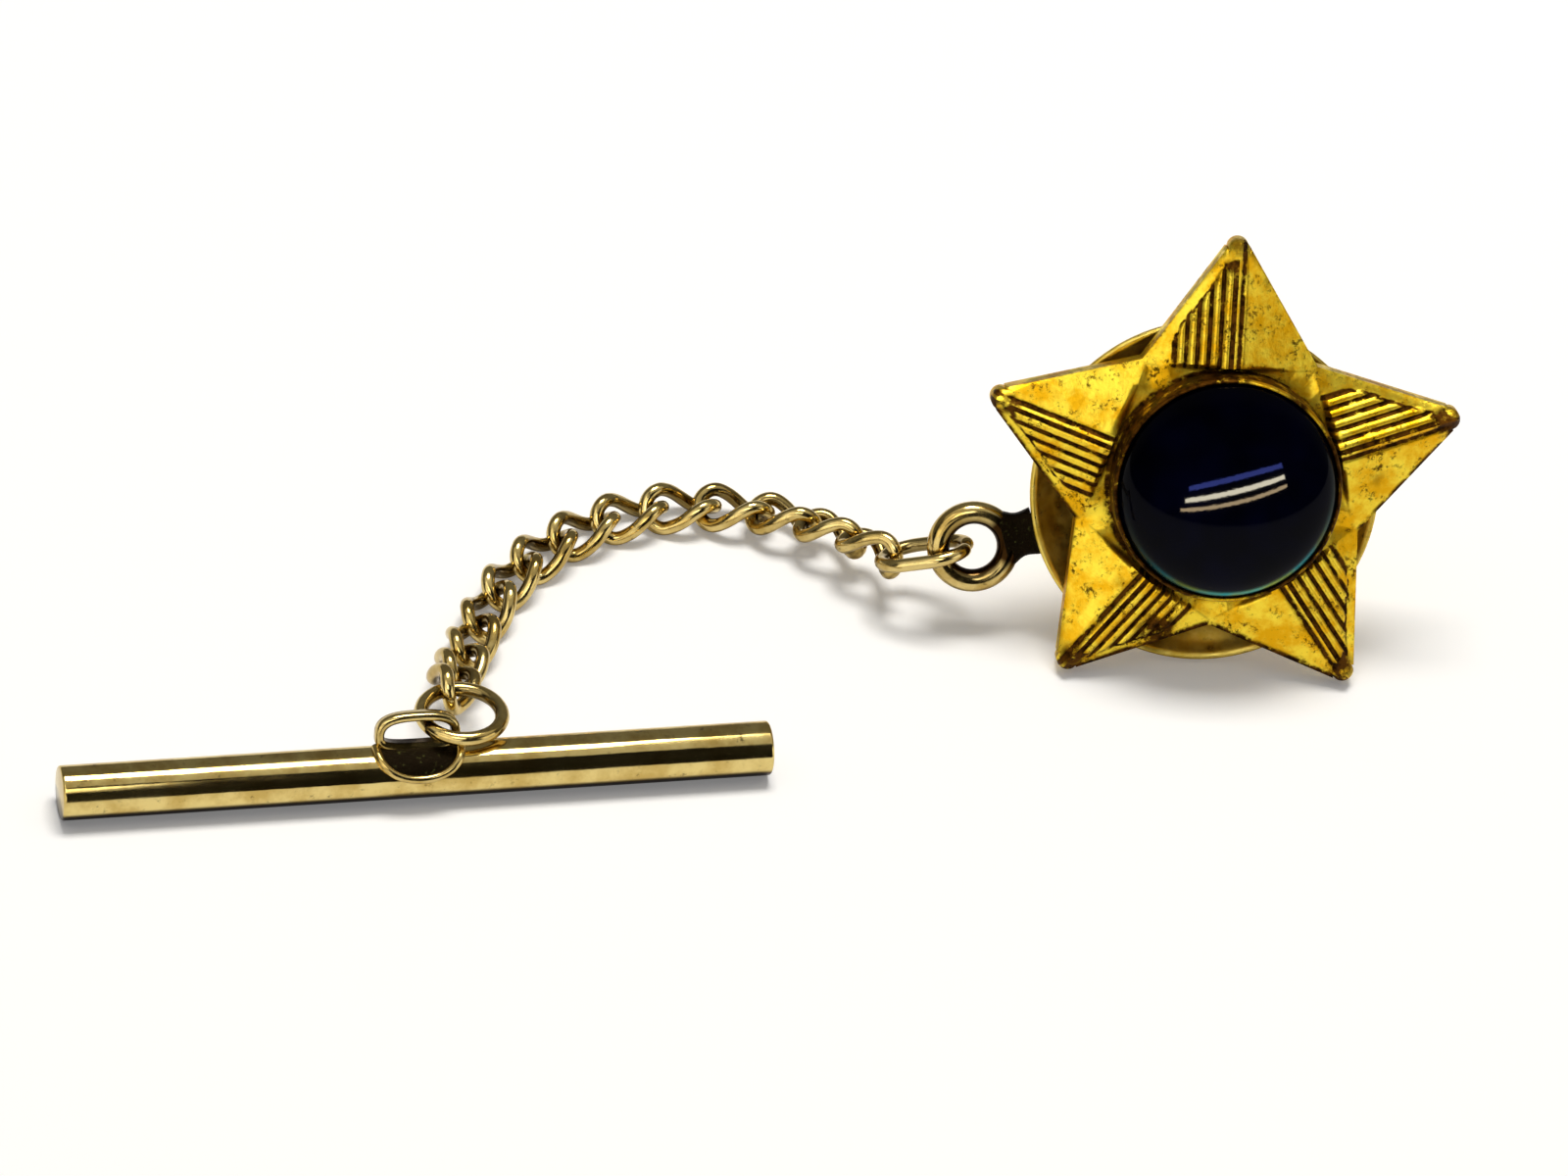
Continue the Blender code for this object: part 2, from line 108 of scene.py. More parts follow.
# Tarnish and painted shade on the star: where each lies, and shares from 0, bright gold, to 1, brown
# Painted shade where the arms rise from the plateau
ARM_FOOT_SHADE = 0.30
RIB_GROOVE_POWER = 1.3
RIB_GROOVE_PAST = 0.10
RIB_GROOVE_RUN = 0.12
RIB_END_TARNISH = 0.9
RIB_END_PAST = 0.08
RIB_END_WIDTH = 0.06
RIBS_BORDER_TARNISH = 0.8
RIBS_BORDER_WIDTH = 0.07
RIBS_BORDER_RUN = 0.3
# Edges are darker, and painted shade makes the band wider and darker where an edge faces down
EDGE_ANGLE = radians(57.0)
EDGE_DARK = 0.35
EDGE_SHADE_BELOW = 0.65
EDGE_BAND = 0.18
EDGE_BAND_BELOW = 0.30
TIP_TARNISH = 0.36
TIP_START = 6.9
TIP_RUN = 0.5
# Painted shade on the star's side wall, at its middle and at its foot
WALL_SHADE = (0.34, 0.14)
# Valley corners: edge darkening at the top, painted shade at the wall's middle and foot
VALLEY_DARK_AND_SHADE = (0.35, 0.4, 0.2)
# Darker ring round the setting's foot, widened below the stone by painted shade
SEAT_DARK = 0.75
SEAT_DARK_RADIUS = 3.60
SEAT_DARK_WIDTH = 0.11
SEAT_SHADE_BELOW = 0.15
# Dark patches: angle in degrees, distance from the centre, size and strength
TARNISH_PATCHES = ((251, 5.1, 0.70, 0.75), (234, 7.2, 0.45, 0.7), (18, 7.30, 0.50, 0.9), (4, 4.9, 0.45, 0.30),
                   (81, 6.5, 0.35, 0.4), (102, 3.7, 0.45, 0.4), (306, 7.2, 0.50, 0.7), (302, 5.3, 0.35, 0.4),
                   (162, 7.2, 0.40, 0.7), (228, 4.4, 0.40, 0.28), (20, 4.6, 0.40, 0.4), (92, 6.9, 0.35, 0.5))

# Setting and stone
SETTING_SIDES = 144
BEZEL_ROUND = 0.05
# Painted shade and dark reflection on the setting: on its lip, on its wall and, fully, at its foot
LIP_SHADE = 0.80
LIP_Y = -1.82
LIP_RUN = 0.12
BEZEL_WALL_SHADE = 0.55
BEZEL_FOOT_Y = -1.15
BEZEL_FOOT_RUN = 0.20
# Painted highlights, where the lip's painted shade is left off: angle and spread in degrees
LIP_GLINTS = ((72.0, 13.0), (44.0, 7.0), (272.0, 15.0))
STONE_RADIUS = 3.46
STONE_BACK_Y = -1.02
STONE_SHOULDER_Y = -1.60
DOME_RADIUS = 3.44
DOME_Y = -1.66
DOME_RISE = 1.44
DOME_STEPS = 40
GLOW_FULL = 0.9
GLOW_ANGLE = -75.0
GLOW_SPREAD = 42.0
GLOW_RADIUS = 3.27
GLOW_WIDTH = 0.07

# Chain
WIRE = 0.22
PITCH = 1.715
HOOK_GAP = 0.09
HOOK = WIRE + HOOK_GAP / 2.0
LINK_HALF_WIDTH = 0.64
LINK_TWIST = radians(-45.0)
TWIST_SHARE = 0.85
FIRST_PIVOT = Vector((-9.90, -0.13, 1.82))
HEADINGS = (130, 140, 153, 170, 188, 203, 215, 226, 237, 248, 253, 256, 260)
SLOPES = (-15, -12, -9, -4, 0, 0, 0, 0, 0, 0, 8, 18, 24)
ROLLS = (50, 38, 25, 12, 0, 0, 0, 0, 0, 0, -8, -17, -29)
END_SLACK = 0.02
END_LINK_WIDTH = 0.98
END_LINK_PLAY = 0.40
END_LINK_POINTS = 120
SPLIT_POINT = 87
SPLIT_GAP = 3
SPLIT_TAPER = [0.62, 0.86, 0.97]
FINE_POINTS = 88
FINE_SIDES = 16
# Painted shade on the inside of a bend: where it starts, over how much it grows, and how dark it gets
INNER_START = 0.15
INNER_RUN = 0.5
INNER_FULL = 0.65

# Clutch, and the loop on its plate
PLATE_RADIUS = 5.5
CLUTCH_SIDES = 128
CLUTCH_ROUND = 0.12
CAP_ROUND = 0.07
POST_SIDES = 64
POST_ROUND = 0.08
LOOP_CENTRE = Vector((-7.446, 0.68, -2.82))
LOOP_OUTER = 1.46
LOOP_HOLE = 0.84
LOOP_FRONT_Y = 0.36
LOOP_BACK_Y = 1.00
LOOP_WIRE = 0.36
LOOP_POINTS = 96
LOOP_SIDES = 24
# Degrees each way from the neck
LOOP_DARK = 35.0
LOOP_DARK_RUN = 20.0
# Neck of the loop
NECK_HALF_WIDTH = 0.74
NECK_START = LOOP_HOLE + 0.12
NECK_OVERLAP = 0.05
NECK_ROWS = 14
NECK_SIDES = 28
NECK_FLARE = 0.28
NECK_WAIST = 0.06
NECK_LUMP = 0.03
NECK_THIN = 0.98

# Spring inside the clutch
SPRING_FRONT_Y = 3.22
SPRING_RUN = 1.02
SPRING_RADIUS = 1.42
SPRING_WIRE = 0.12
SPRING_TURNS = 3.0
SPRING_STEPS = 180
SPRING_SIDES = 12

# Toggle bar, its eye and the ring between the eye and the chain
BAR_YAW = radians(8.8)
BAR_LENGTH = 22.2
BAR_RADIUS = 0.85
BAR_ROUND = 0.09
BAR_SIDES = 120
# Painted shade along the bar's underside: where it starts below the middle, and over how much it grows
BAR_SHADE = 0.20
BAR_SHADE_RUN = 0.18
EYE_LEAN = radians(20.0)
EYE_HALF_WIDTH = 1.32
EYE_REACH = 1.95
EYE_MIDDLE = 1.20
EYE_WALL = 0.26
EYE_DEPTH = 0.22
EYE_SOFT = 0.06
EYE_DROP = 0.62
EYE_HOLE_DROP = 0.20
EYE_POINTS = 96
# Degrees round the bar, from 0 at its front to 90 at its top
EYE_FOOT_TOP = 104.0
EYE_FOOT_LOW = 24.0
# Rim of the eye's foot, and the black sheet of painted shade inside it
EYE_FOOT_WIRE = 0.13
EYE_FOOT_POINTS = 48
EYE_FOOT_STEPS = 8
EYE_RIM_LIFT = 0.05
EYE_SHADE_LIFT = 0.012
# Ring
RING_ALONG_BAR = 0.48
RING_WIRE = 0.21
RING_FULLER = 0.015
RING_RADIUS = 1.25
RING_RIGHT = 1.03
RING_BACK = 0.62
RING_TURN = radians(95.0)
SEAT_REACH = 1.36

# Colours
STAR_GOLD = (1.0, 0.75, 0.055)
STAR_GOLD_DEEP = (0.82, 0.43, 0.006)
BROWN_CRUST = (0.020, 0.007, 0.001)
BROWN = (0.105, 0.040, 0.004)
CHAIN_GOLD = (0.74, 0.57, 0.22)
CHAIN_GOLD_DEEP = (0.47, 0.32, 0.085)
CLUTCH_GOLD = (0.87, 0.67, 0.15)
CLUTCH_GOLD_DEEP = (0.66, 0.44, 0.05)
BAR_GOLD = (0.82, 0.65, 0.25)
BAR_GOLD_DEEP = (0.60, 0.42, 0.12)
GRIME_AND_SHADE = (0.030, 0.013, 0.003)
BLACK_OXIDE_AND_SHADE = (0.009, 0.006, 0.003)
OXIDE_GREEN = (0.07, 0.075, 0.02)
STEEL = (0.60, 0.60, 0.58)
STEEL_DARK = (0.42, 0.41, 0.39)
STONE_BLACK = (0.0001, 0.00015, 0.0006)
STONE_NAVY = (0.0002, 0.0003, 0.0026)
GLOW_TEAL = (0.012, 0.16, 0.19)
GLOW_OLIVE = (0.10, 0.15, 0.03)
FLOOR_WHITE = (0.93, 0.93, 0.93)
ROOM_TINT = (1.0, 0.97, 0.90)
WARM_LIGHT = (1.0, 0.975, 0.93)
CREAM_LIGHT = (1.0, 0.92, 0.70)
BLUE_LIGHT = (0.16, 0.22, 1.0)
TAN_LIGHT = (1.0, 0.74, 0.42)

# Stage: the floor's sizes are in metres
FLOOR_HALF = 3.0
FLOOR_GLOW = 0.19
FLOOR_NEAR = 0.03
FLOOR_FAR = 0.40
FLOOR_IN_MIRRORS = 0.2
ROOM_BACK = 0.16
ROOM_FRONT = 0.012
ROOM_DARK_Y = -0.30
ROOM_LIGHT_Y = 0.25
LAMP_DISTANCE = 500.0
OVERHEAD_DISTANCE = 600.0
STRIP_DISTANCE = 400.0
STRIP_ROLL = 12.2

# Camera: the clip distances are in metres
CAMERA_SPOT = Vector((-52.63, -275.29, 242.68))
CAMERA_AZIMUTH = radians(-8.17)
CAMERA_ELEVATION = radians(41.08)
CAMERA_ROLL = radians(7.85)
CAMERA_LENS = 269.2
CAMERA_SENSOR = 36.0
CLIP_START = 0.01
CLIP_END = 20.0


# Formulas that several pieces use

def clamp(share):
    return min(1.0, max(0.0, share))


def fade(value, start, length):
    """1 before start, falling to 0 over the length."""
    return clamp(1.0 - (value - start) / length)


def bell(value, middle, width):
    """1 at the middle, falling to 0 on both sides."""
    return exp(-((value - middle) / width) ** 2)


def squared(value):
    """Bends a sine or cosine so that an oval gets fuller corners."""
    return abs(value) ** 0.7 * (1.0 if value > 0.0 else -1.0)


# Mesh helpers

def add_piece(name, points, faces, material, body, nodes=(), sharp=40.0, marks=None, stand=None):
    """One smooth-shaded piece from points in millimetres, riding on a body in place of some nodes.

    marks gives attribute names, each with one number per point, for the material to read. stand is a
    matrix for a piece with axes of its own; its points are given in those axes.
    """
    mesh = bpy.data.meshes.new(name)
    base = Vector() if stand else SHIFT
    mesh.from_pydata([(Vector(p) + base) * MM for p in points], [], faces)
    for title, values in (marks or {}).items():
        layer = mesh.attributes.new(title, "FLOAT", "POINT")
        layer.data.foreach_set("value", values)
    mesh.validate()
    mesh.polygons.foreach_set("use_smooth", [True] * len(mesh.polygons))
    mesh.set_sharp_from_angle(angle=radians(sharp))
    mesh.materials.append(material)
    piece = bpy.data.objects.new(name, mesh)
    if stand:
        turn = stand.to_3x3().to_4x4()
        piece.matrix_world = Matrix.Translation((stand.translation + SHIFT) * MM) @ turn
    bpy.context.scene.collection.objects.link(piece)
    bpy.context.view_layer.update()
    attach(piece, body)
    if nodes:
        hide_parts(*nodes)
    return piece


def placed(points, matrix):
    return [matrix @ Vector(p) for p in points]


def lathe(profile, count):
    """Points and faces of a closed (radius, y) outline turned about Y; it runs front to back outside."""
    points, rings, faces = [], [], []
    for radius, y in profile:
        if radius == 0.0:
            rings.append([len(points)] * count)
            points.append((0.0, y, 0.0))
            continue
        rings.append(list(range(len(points), len(points) + count)))
        for k in range(count):
            turn = 2.0 * pi * k / count
            points.append((radius * cos(turn), y, radius * sin(turn)))
    for i, ring in enumerate(rings):
        after = rings[(i + 1) % len(rings)]
        for k in range(count):
            m = (k + 1) % count
            corners = list(dict.fromkeys((ring[k], ring[m], after[m], after[k])))
            if len(corners) > 2:
                faces.append(corners)
    return points, faces


def rounded(profile, size, steps=4):
    """The closed outline with each corner off the axis cut to a small round."""
    found = []
    count = len(profile)
    for k, (x, y) in enumerate(profile):
        here = Vector((x, y))
        if x == 0.0:
            found.append((x, y))
            continue
        before = Vector(profile[k - 1]) - here
        after = Vector(profile[(k + 1) % count]) - here
        reach = min(size, before.length * 0.45, after.length * 0.45)
        start = here + before.normalized() * reach
        end = here + after.normalized() * reach
        for n in range(steps + 1):
            t = n / steps
            spot = start * (1 - t) ** 2 + here * 2 * t * (1 - t) + end * t ** 2
            found.append((spot.x, spot.y))
    return found


def sweep(path, radius, sides, closed=True, taper=None):
    """Round wire along a path of points; taper gives a share of the radius for each point."""
    count = len(path)
    path = [Vector(p) for p in path]
    tangents = []
    for k in range(count):
        before = path[k - 1] if closed or k > 0 else path[k]
        after = path[(k + 1) % count] if closed or k < count - 1 else path[k]
        tangents.append((after - before).normalized())
    side = tangents[0].orthogonal().normalized()
    sides_at = [side]
    for k in range(1, count):
        side = tangents[k - 1].rotation_difference(tangents[k]) @ side
        sides_at.append((side - tangents[k] * side.dot(tangents[k])).normalized())
    slip = 0.0
    if closed:
        last = tangents[-1].rotation_difference(tangents[0]) @ sides_at[-1]
        slip = atan2(last.cross(sides_at[0]).dot(tangents[0]), last.dot(sides_at[0]))
    points = []
    for k in range(count):
        across = tangents[k].cross(sides_at[k])
        size = radius * (taper[k] if taper else 1.0)
        for s in range(sides):
            turn = 2.0 * pi * s / sides + slip * k / count
            points.append(path[k] + size * (cos(turn) * sides_at[k] + sin(turn) * across))
    return points, tube_faces(count, sides, closed)


def tube_faces(rows, sides, closed):
    """Quads between neighbouring rings of points, with a flat cap on each end of an open tube."""
    faces = []
    for k in range(rows if closed else rows - 1):
        m = (k + 1) % rows
        for s in range(sides):
            t = (s + 1) % sides
            faces.append((k * sides + s, k * sides + t, m * sides + t, m * sides + s))
    if not closed:
        faces.append(tuple(reversed(range(sides))))
        faces.append(tuple(range((rows - 1) * sides, rows * sides)))
    return faces


def inner_marks(points, path, sides, hub, full=INNER_FULL):
    """For each point of a swept wire, how far it is on the side that faces the hub of its ring; the gold
    paints shade there.
    """
    marks = []
    for k, point in enumerate(points):
        centre = Vector(path[k // sides])
        inward = (Vector(hub) - centre).normalized()
        facing = (Vector(point) - centre).normalized().dot(inward)
        marks.append(full * clamp((facing - INNER_START) / INNER_RUN))
    return marks


# Materials

class Shader:
    """A new material with a Principled shader and short ways to add nodes before it."""

    def __init__(self, name, metallic, rough):
        self.material = bpy.data.materials.new(name)
        self.material.use_nodes = True
        self.tree = self.material.node_tree
        self.main = self.tree.nodes["Principled BSDF"]
        self.main.inputs["Metallic"].default_value = metallic
        self.main.inputs["Roughness"].default_value = rough
        self.place = self.tree.nodes.new("ShaderNodeTexCoord").outputs["Object"]

    def link(self, start, end):
        self.tree.links.new(start, end)

    def stretched(self, scale):
        node = self.tree.nodes.new("ShaderNodeMapping")
        node.inputs["Scale"].default_value = scale
        self.link(self.place, node.inputs["Vector"])
        return node.outputs["Vector"]

    def noise(self, size_mm, detail=3.0, rough=0.6, place=None):
        """Noise with features of about this size."""
        node = self.tree.nodes.new("ShaderNodeTexNoise")
        node.inputs["Scale"].default_value = 1.0 / (size_mm * MM)
        node.inputs["Detail"].default_value = detail
        node.inputs["Roughness"].default_value = rough
        self.link(place or self.place, node.inputs["Vector"])
        return node.outputs["Fac"]

    def mark(self, title):
        node = self.tree.nodes.new("ShaderNodeAttribute")
        node.attribute_name = title
        return node.outputs["Fac"]

    def span(self, value, low, high, out_low=0.0, out_high=1.0):
        """Maps the values between low and high to the output span, smoothly and clamped."""
        node = self.tree.nodes.new("ShaderNodeMapRange")
        node.interpolation_type = "SMOOTHSTEP"
        limits = {"From Min": low, "From Max": high, "To Min": out_low, "To Max": out_high}
        for title, number in limits.items():
            node.inputs[title].default_value = number
        self.link(value, node.inputs["Value"])
        return node.outputs["Result"]

    def math(self, kind, *values):
        """Result between 0 and 1; each value is a number or an output."""
        node = self.tree.nodes.new("ShaderNodeMath")
        node.operation = kind
        node.use_clamp = True
        for k, value in enumerate(values):
            if isinstance(value, float):
                node.inputs[k].default_value = value
            else:
                self.link(value, node.inputs[k])
        return node.outputs["Value"]

    def blend(self, share, one, two):
        """Colour between one and two; each is a colour or an output."""
        node = self.tree.nodes.new("ShaderNodeMix")
        node.data_type = "RGBA"
        self.link(share, node.inputs["Factor"])
        for title, value in (("A", one), ("B", two)):
            socket = [s for s in node.inputs if s.name == title and s.type == "RGBA"][0]
            if isinstance(value, tuple):
                socket.default_value = (*value, 1.0)
            else:
                self.link(value, socket)
        return [s for s in node.outputs if s.type == "RGBA"][0]

    def bump(self, height, strength, depth_mm):
        node = self.tree.nodes.new("ShaderNodeBump")
        node.inputs["Strength"].default_value = strength
        node.inputs["Distance"].default_value = depth_mm * MM
        self.link(height, node.inputs["Height"])
        self.link(node.outputs["Normal"], self.main.inputs["Normal"])

    def colour(self, value):
        self.link(value, self.main.inputs["Base Color"])

    def rough(self, value):
        self.link(value, self.main.inputs["Roughness"])


def star_gold():
    """Worn, saturated gold plate with clusters of fine pits; brown where its mark says, which is tarnish in
    the hollows and painted shade elsewhere.
    """
    s = Shader("antique gold", 1.0, 0.4)
    blotch = s.span(s.noise(0.9, 5.0, 0.65), 0.36, 0.64)
    gold = s.blend(blotch, STAR_GOLD, STAR_GOLD_DEEP)
    fine = s.span(s.noise(0.15, 4.0, 0.7), 0.47, 0.60)
    patch = s.span(s.noise(0.65, 5.0, 0.7), 0.47, 0.62)
    pits = s.math("MULTIPLY", fine, patch)
    wear = s.span(s.noise(0.50, 5.0, 0.7), 0.32, 0.56, 0.35, 1.0)
    # hollow is the mark's tarnish and painted shade, broken up by wear
    hollow = s.span(s.math("MULTIPLY", s.mark("tarnish_and_shade"), wear), 0.10, 0.55)
    dirt_and_shade = s.math("MAXIMUM", hollow, s.math("MULTIPLY", pits, 0.9))
    crust = s.span(s.noise(0.35, 4.0, 0.7), 0.40, 0.60)
    brown = s.blend(crust, BROWN_CRUST, BROWN)
    s.colour(s.blend(dirt_and_shade, gold, brown))
    s.rough(s.span(dirt_and_shade, 0.0, 1.0, 0.36, 0.6))
    s.bump(s.noise(0.30, 5.0, 0.65), 0.55, 0.04)
    return s.material


def pale_gold(name, light, deep, rough, size_mm=0.5, stretch=None, relief=0.16):
    """Pale gold plate with faint scratches and dark spots, and painted shade where its inner mark says."""
    s = Shader(name, 1.0, rough)
    place = s.stretched(stretch) if stretch else None
    scratch = s.noise(size_mm, 5.0, 0.65, place)
    gold = s.blend(s.span(s.noise(1.1, 4.0), 0.35, 0.68), light, deep)
    spots = s.span(s.noise(0.30, 5.0, 0.7), 0.58, 0.74, 0.0, 0.7)
    # Dark spots, and painted shade where the inner mark says
    grime_and_shade = s.math("MAXIMUM", spots, s.mark("inner"))
    s.colour(s.blend(grime_and_shade, gold, GRIME_AND_SHADE))
    s.rough(s.span(scratch, 0.3, 0.75, rough * 0.7, rough * 1.7))
    s.bump(scratch, relief, 0.012)
    return s.material


def oxide_and_shade_finish():
    """Black, crusted metal with a little green corrosion; it also colours the black sheet of painted shade in
    the bar's eye.
    """
    s = Shader("black oxide", 1.0, 0.42)
    crust = s.span(s.noise(0.16, 5.0, 0.7), 0.58, 0.72)
    s.colour(s.blend(crust, BLACK_OXIDE_AND_SHADE, OXIDE_GREEN))
    s.bump(s.noise(0.14, 5.0, 0.7), 0.8, 0.06)
    return s.material


def spring_steel():
    """Grey steel of the spring, the balls and their cage."""
    s = Shader("spring steel", 1.0, 0.3)
    tone = s.span(s.noise(0.6, 3.0), 0.35, 0.7)
    s.colour(s.blend(tone, STEEL, STEEL_DARK))
    s.bump(s.noise(0.2, 4.0), 0.1, 0.01)
    return s.material


def navy_stone():
    """Almost black glass; its lower edge is painted teal, as light that has passed through it would make it.
    """
    s = Shader("navy glass", 0.0, 0.035)
    s.main.inputs["IOR"].default_value = 1.5
    s.main.inputs["Specular IOR Level"].default_value = 0.05
    cloud = s.span(s.noise(2.0, 2.0), 0.3, 0.8)
    deep = s.blend(cloud, STONE_BLACK, STONE_NAVY)
    green = s.span(s.noise(1.5, 2.0), 0.4, 0.6)
    glow = s.blend(green, GLOW_TEAL, GLOW_OLIVE)
    s.colour(s.blend(s.mark("glow"), deep, glow))
    s.bump(s.noise(0.14, 3.0), 0.25, 0.002)
    return s.material


# Star

def edge_reach(offset):
    """Distance from the star's centre, along the arm, of the arm's edge at this offset."""
    valley = (STAR_INNER * cos(ARM_HALF_ANGLE), STAR_INNER * sin(ARM_HALF_ANGLE))
    along = STAR_CORNER + (valley[0] - STAR_CORNER) * offset / valley[1]
    if offset >= NUB:
        return along
    return min(along, STAR_RADIUS - NUB + sqrt(NUB ** 2 - offset ** 2))


def facet_y(along, offset):
    """Height of an arm's plain facet, falling from the ridge to the edge."""
    share = clamp((along - ARM_BASE) / (RIDGE_TIP - ARM_BASE))
    ridge = RIDGE_BASE_Y + (RIDGE_TIP_Y - RIDGE_BASE_Y) * share
    width = max(FACET_TIP_WIDTH, (STAR_CORNER - along) / (STAR_CORNER - ARM_BASE) * FACET_BASE_WIDTH)
    slope = min(1.0, offset / width)
    return ridge + (STAR_EDGE_Y - EDGE_DROP - ridge) * slope


def rib_rise(offset):
    """Share of the rib height at this offset from the ridge, from 0 in a groove to 1 on a rib."""
    best = 0.0
    for start in RIB_STARTS:
        away = abs(offset - start - RIB_WIDTH / 2.0) / (RIB_WIDTH / 2.0 + RIB_SKIRT)
        if away < 1.0:
            best = max(best, cos(away * pi / 2.0) ** RIB_CROWN)
    return best


def ridge_groove(offset):
    """Share of the depth of the groove beside the ridge, on the plain half."""
    return bell(offset, GROOVE_OFFSET, GROOVE_WIDTH)


def rib_end(offset):
    """Where along the arm the ribs stop; each rib ends a little away from a straight line."""
    uneven = RIB_UNEVEN * sin(9.0 * round((offset - RIB_FIRST) / RIB_STEP) + 1.0)
    far = edge_reach(offset)
    return max((ARM_BASE + far) / 2.0, far - RIB_MARGIN - uneven)


def arm_columns(far_across):
    """Evenly spaced offsets from an arm's ridge to the end of its base line."""
    count = round(far_across / COLUMN_STEP)
    return [far_across * k / count for k in range(count + 1)]


def patch_tarnish(along, across, turn):
    """Tarnish from the dark patches at a point of the arm that points in the direction turn."""
    x = along * cos(turn) - across * sin(turn)
    z = along * sin(turn) + across * cos(turn)
    dark = 0.0
    for angle, distance, size, strength in TARNISH_PATCHES:
        a = radians(angle)
        away = sqrt((x - distance * cos(a)) ** 2 + (z - distance * sin(a)) ** 2)
        dark = max(dark, strength * bell(away, 0.0, size))
    return dark


def arm_height(along, offset, ribbed, far, foot):
    """Height of an arm's face, with its ribs or with the groove beside its ridge."""
    y = facet_y(along, offset)
    if not ribbed:
        y += GROOVE_DEPTH * ridge_groove(offset) * fade(along, far - GROOVE_STOP, GROOVE_END_RUN) * foot
    elif offset < RIBS_ACROSS + RIBS_BORDER:
        inside = fade(along, rib_end(offset), RIB_END_RUN) * foot
        y -= RIB_HEIGHT * rib_rise(offset) * inside
    if y < PLATEAU_Y:
        y = PLATEAU_Y + (y - PLATEAU_Y) * (ARM_FOOT_SHARE + (1.0 - ARM_FOOT_SHARE) * foot)
    return y + (STAR_EDGE_Y - y) * fade(far - along, 0.0, BRINK_WIDTH) ** 2


def rib_tarnish(along, offset):
    """Tarnish between the ribs, round their ends and beside the last one."""
    end = rib_end(offset)
    if offset < RIBS_ACROSS + RIBS_BORDER:
        depth = (1.0 - rib_rise(offset)) ** RIB_GROOVE_POWER
        groove = depth * fade(along, end + RIB_GROOVE_PAST, RIB_GROOVE_RUN)
        return max(groove, RIB_END_TARNISH * bell(along - end, RIB_END_PAST, RIB_END_WIDTH))
    border = RIBS_BORDER_TARNISH * bell(offset - RIBS_ACROSS, RIBS_BORDER, RIBS_BORDER_WIDTH)
    return border * fade(along, end, RIBS_BORDER_RUN)


def edge_darkening_and_shade(turn, side, inward):
    """Darkening at this distance inward from an arm's edge, with painted shade that makes it wider and darker
    where the edge faces down.
    """
    downward = max(0.0, -sin(turn + side * EDGE_ANGLE))
    border = fade(inward, 0.0, EDGE_BAND + EDGE_BAND_BELOW * downward)
    return (EDGE_DARK + EDGE_SHADE_BELOW * downward) * border


def arm_point(offset, share, side, turn):
    """Along, y and darkening of a point of an arm at this share of the way from base line to edge: tarnish,
    with painted shade at the arm's foot and along its edges.
    """
    ribbed = side > 0
    far = edge_reach(offset)
    along = ARM_BASE + (far - ARM_BASE) * share
    foot = clamp((along - ARM_BASE) / ARM_FOOT_RUN)
    hollow = rib_tarnish(along, offset) if ribbed else ridge_groove(offset)
    tip = TIP_TARNISH * clamp((along - TIP_START) / TIP_RUN)
    tarnish_and_shade = max(ARM_FOOT_SHADE * (1.0 - foot), hollow, edge_darkening_and_shade(turn, side, far - along), tip,
                  patch_tarnish(along, side * offset, turn))
    return along, arm_height(along, offset, ribbed, far, foot), tarnish_and_shade


class MeshBook:
    """Collects points without doubles, each with its share of tarnish and painted shade, and faces."""

    def __init__(self):
        self.points, self.faces, self.index, self.tarnish_and_shade = [], [], {}, []

    def at(self, x, y, z, tarnish_and_shade):
        key = (round(x, 4), round(y, 4), round(z, 4))
        if key not in self.index:
            self.index[key] = len(self.points)
            self.points.append(key)
            self.tarnish_and_shade.append(tarnish_and_shade)
        return self.index[key]

    def face(self, corners):
        ring = list(dict.fromkeys(corners))
        if len(ring) > 2:
            self.faces.append(ring)

    def strip(self, rows, flip):
        """Quads between neighbouring rows of points."""
        for one, two in zip(rows, rows[1:]):
            for j in range(len(one) - 1):
                quad = (one[j], one[j + 1], two[j + 1], two[j])
                self.face(reversed(quad) if flip else quad)


def half_arm(book, turn, side):
    """One half of an arm, with its plateau and its edge wall; gives its back and inner edges."""

    def spot(along, across, y, tarnish_and_shade):
        x = along * cos(turn) - across * side * sin(turn)
        z = along * sin(turn) + across * side * cos(turn)
        return book.at(x, y, z, tarnish_and_shade)

    top, wall, flat = [], [], []
    for offset in arm_columns(ARM_BASE * tan(ARM_HALF_ANGLE)):
        row = []
        for share in ARM_SHARES:
            along, y, tarnish_and_shade = arm_point(offset, share, side, turn)
            row.append(spot(along, offset, y, tarnish_and_shade))
        top.append(row)
        far = edge_reach(offset)
        # The side wall carries painted shade
        middle, low = WALL_SHADE
        wall.append([row[-1], spot(far, offset, WALL_MIDDLE_Y, middle), spot(far, offset, 0.0, low)])
        flat.append(plateau_row(book, spot, offset, row[0]))
    corner = [STAR_INNER * cos(ARM_HALF_ANGLE), STAR_INNER * sin(ARM_HALF_ANGLE)]
    upper, middle, low = VALLEY_DARK_AND_SHADE
    tip = spot(*corner, STAR_EDGE_Y, upper)
    book.strip(top, side < 0)
    for one, two in zip(top[-1], top[-1][1:]):
        book.face((two, one, tip) if side < 0 else (one, two, tip))
    wall.append([tip, spot(*corner, WALL_MIDDLE_Y, middle), spot(*corner, 0.0, low)])
    book.strip(wall, side < 0)
    book.strip(flat, side > 0)
    return [row[-1] for row in wall], [row[-1] for row in flat]


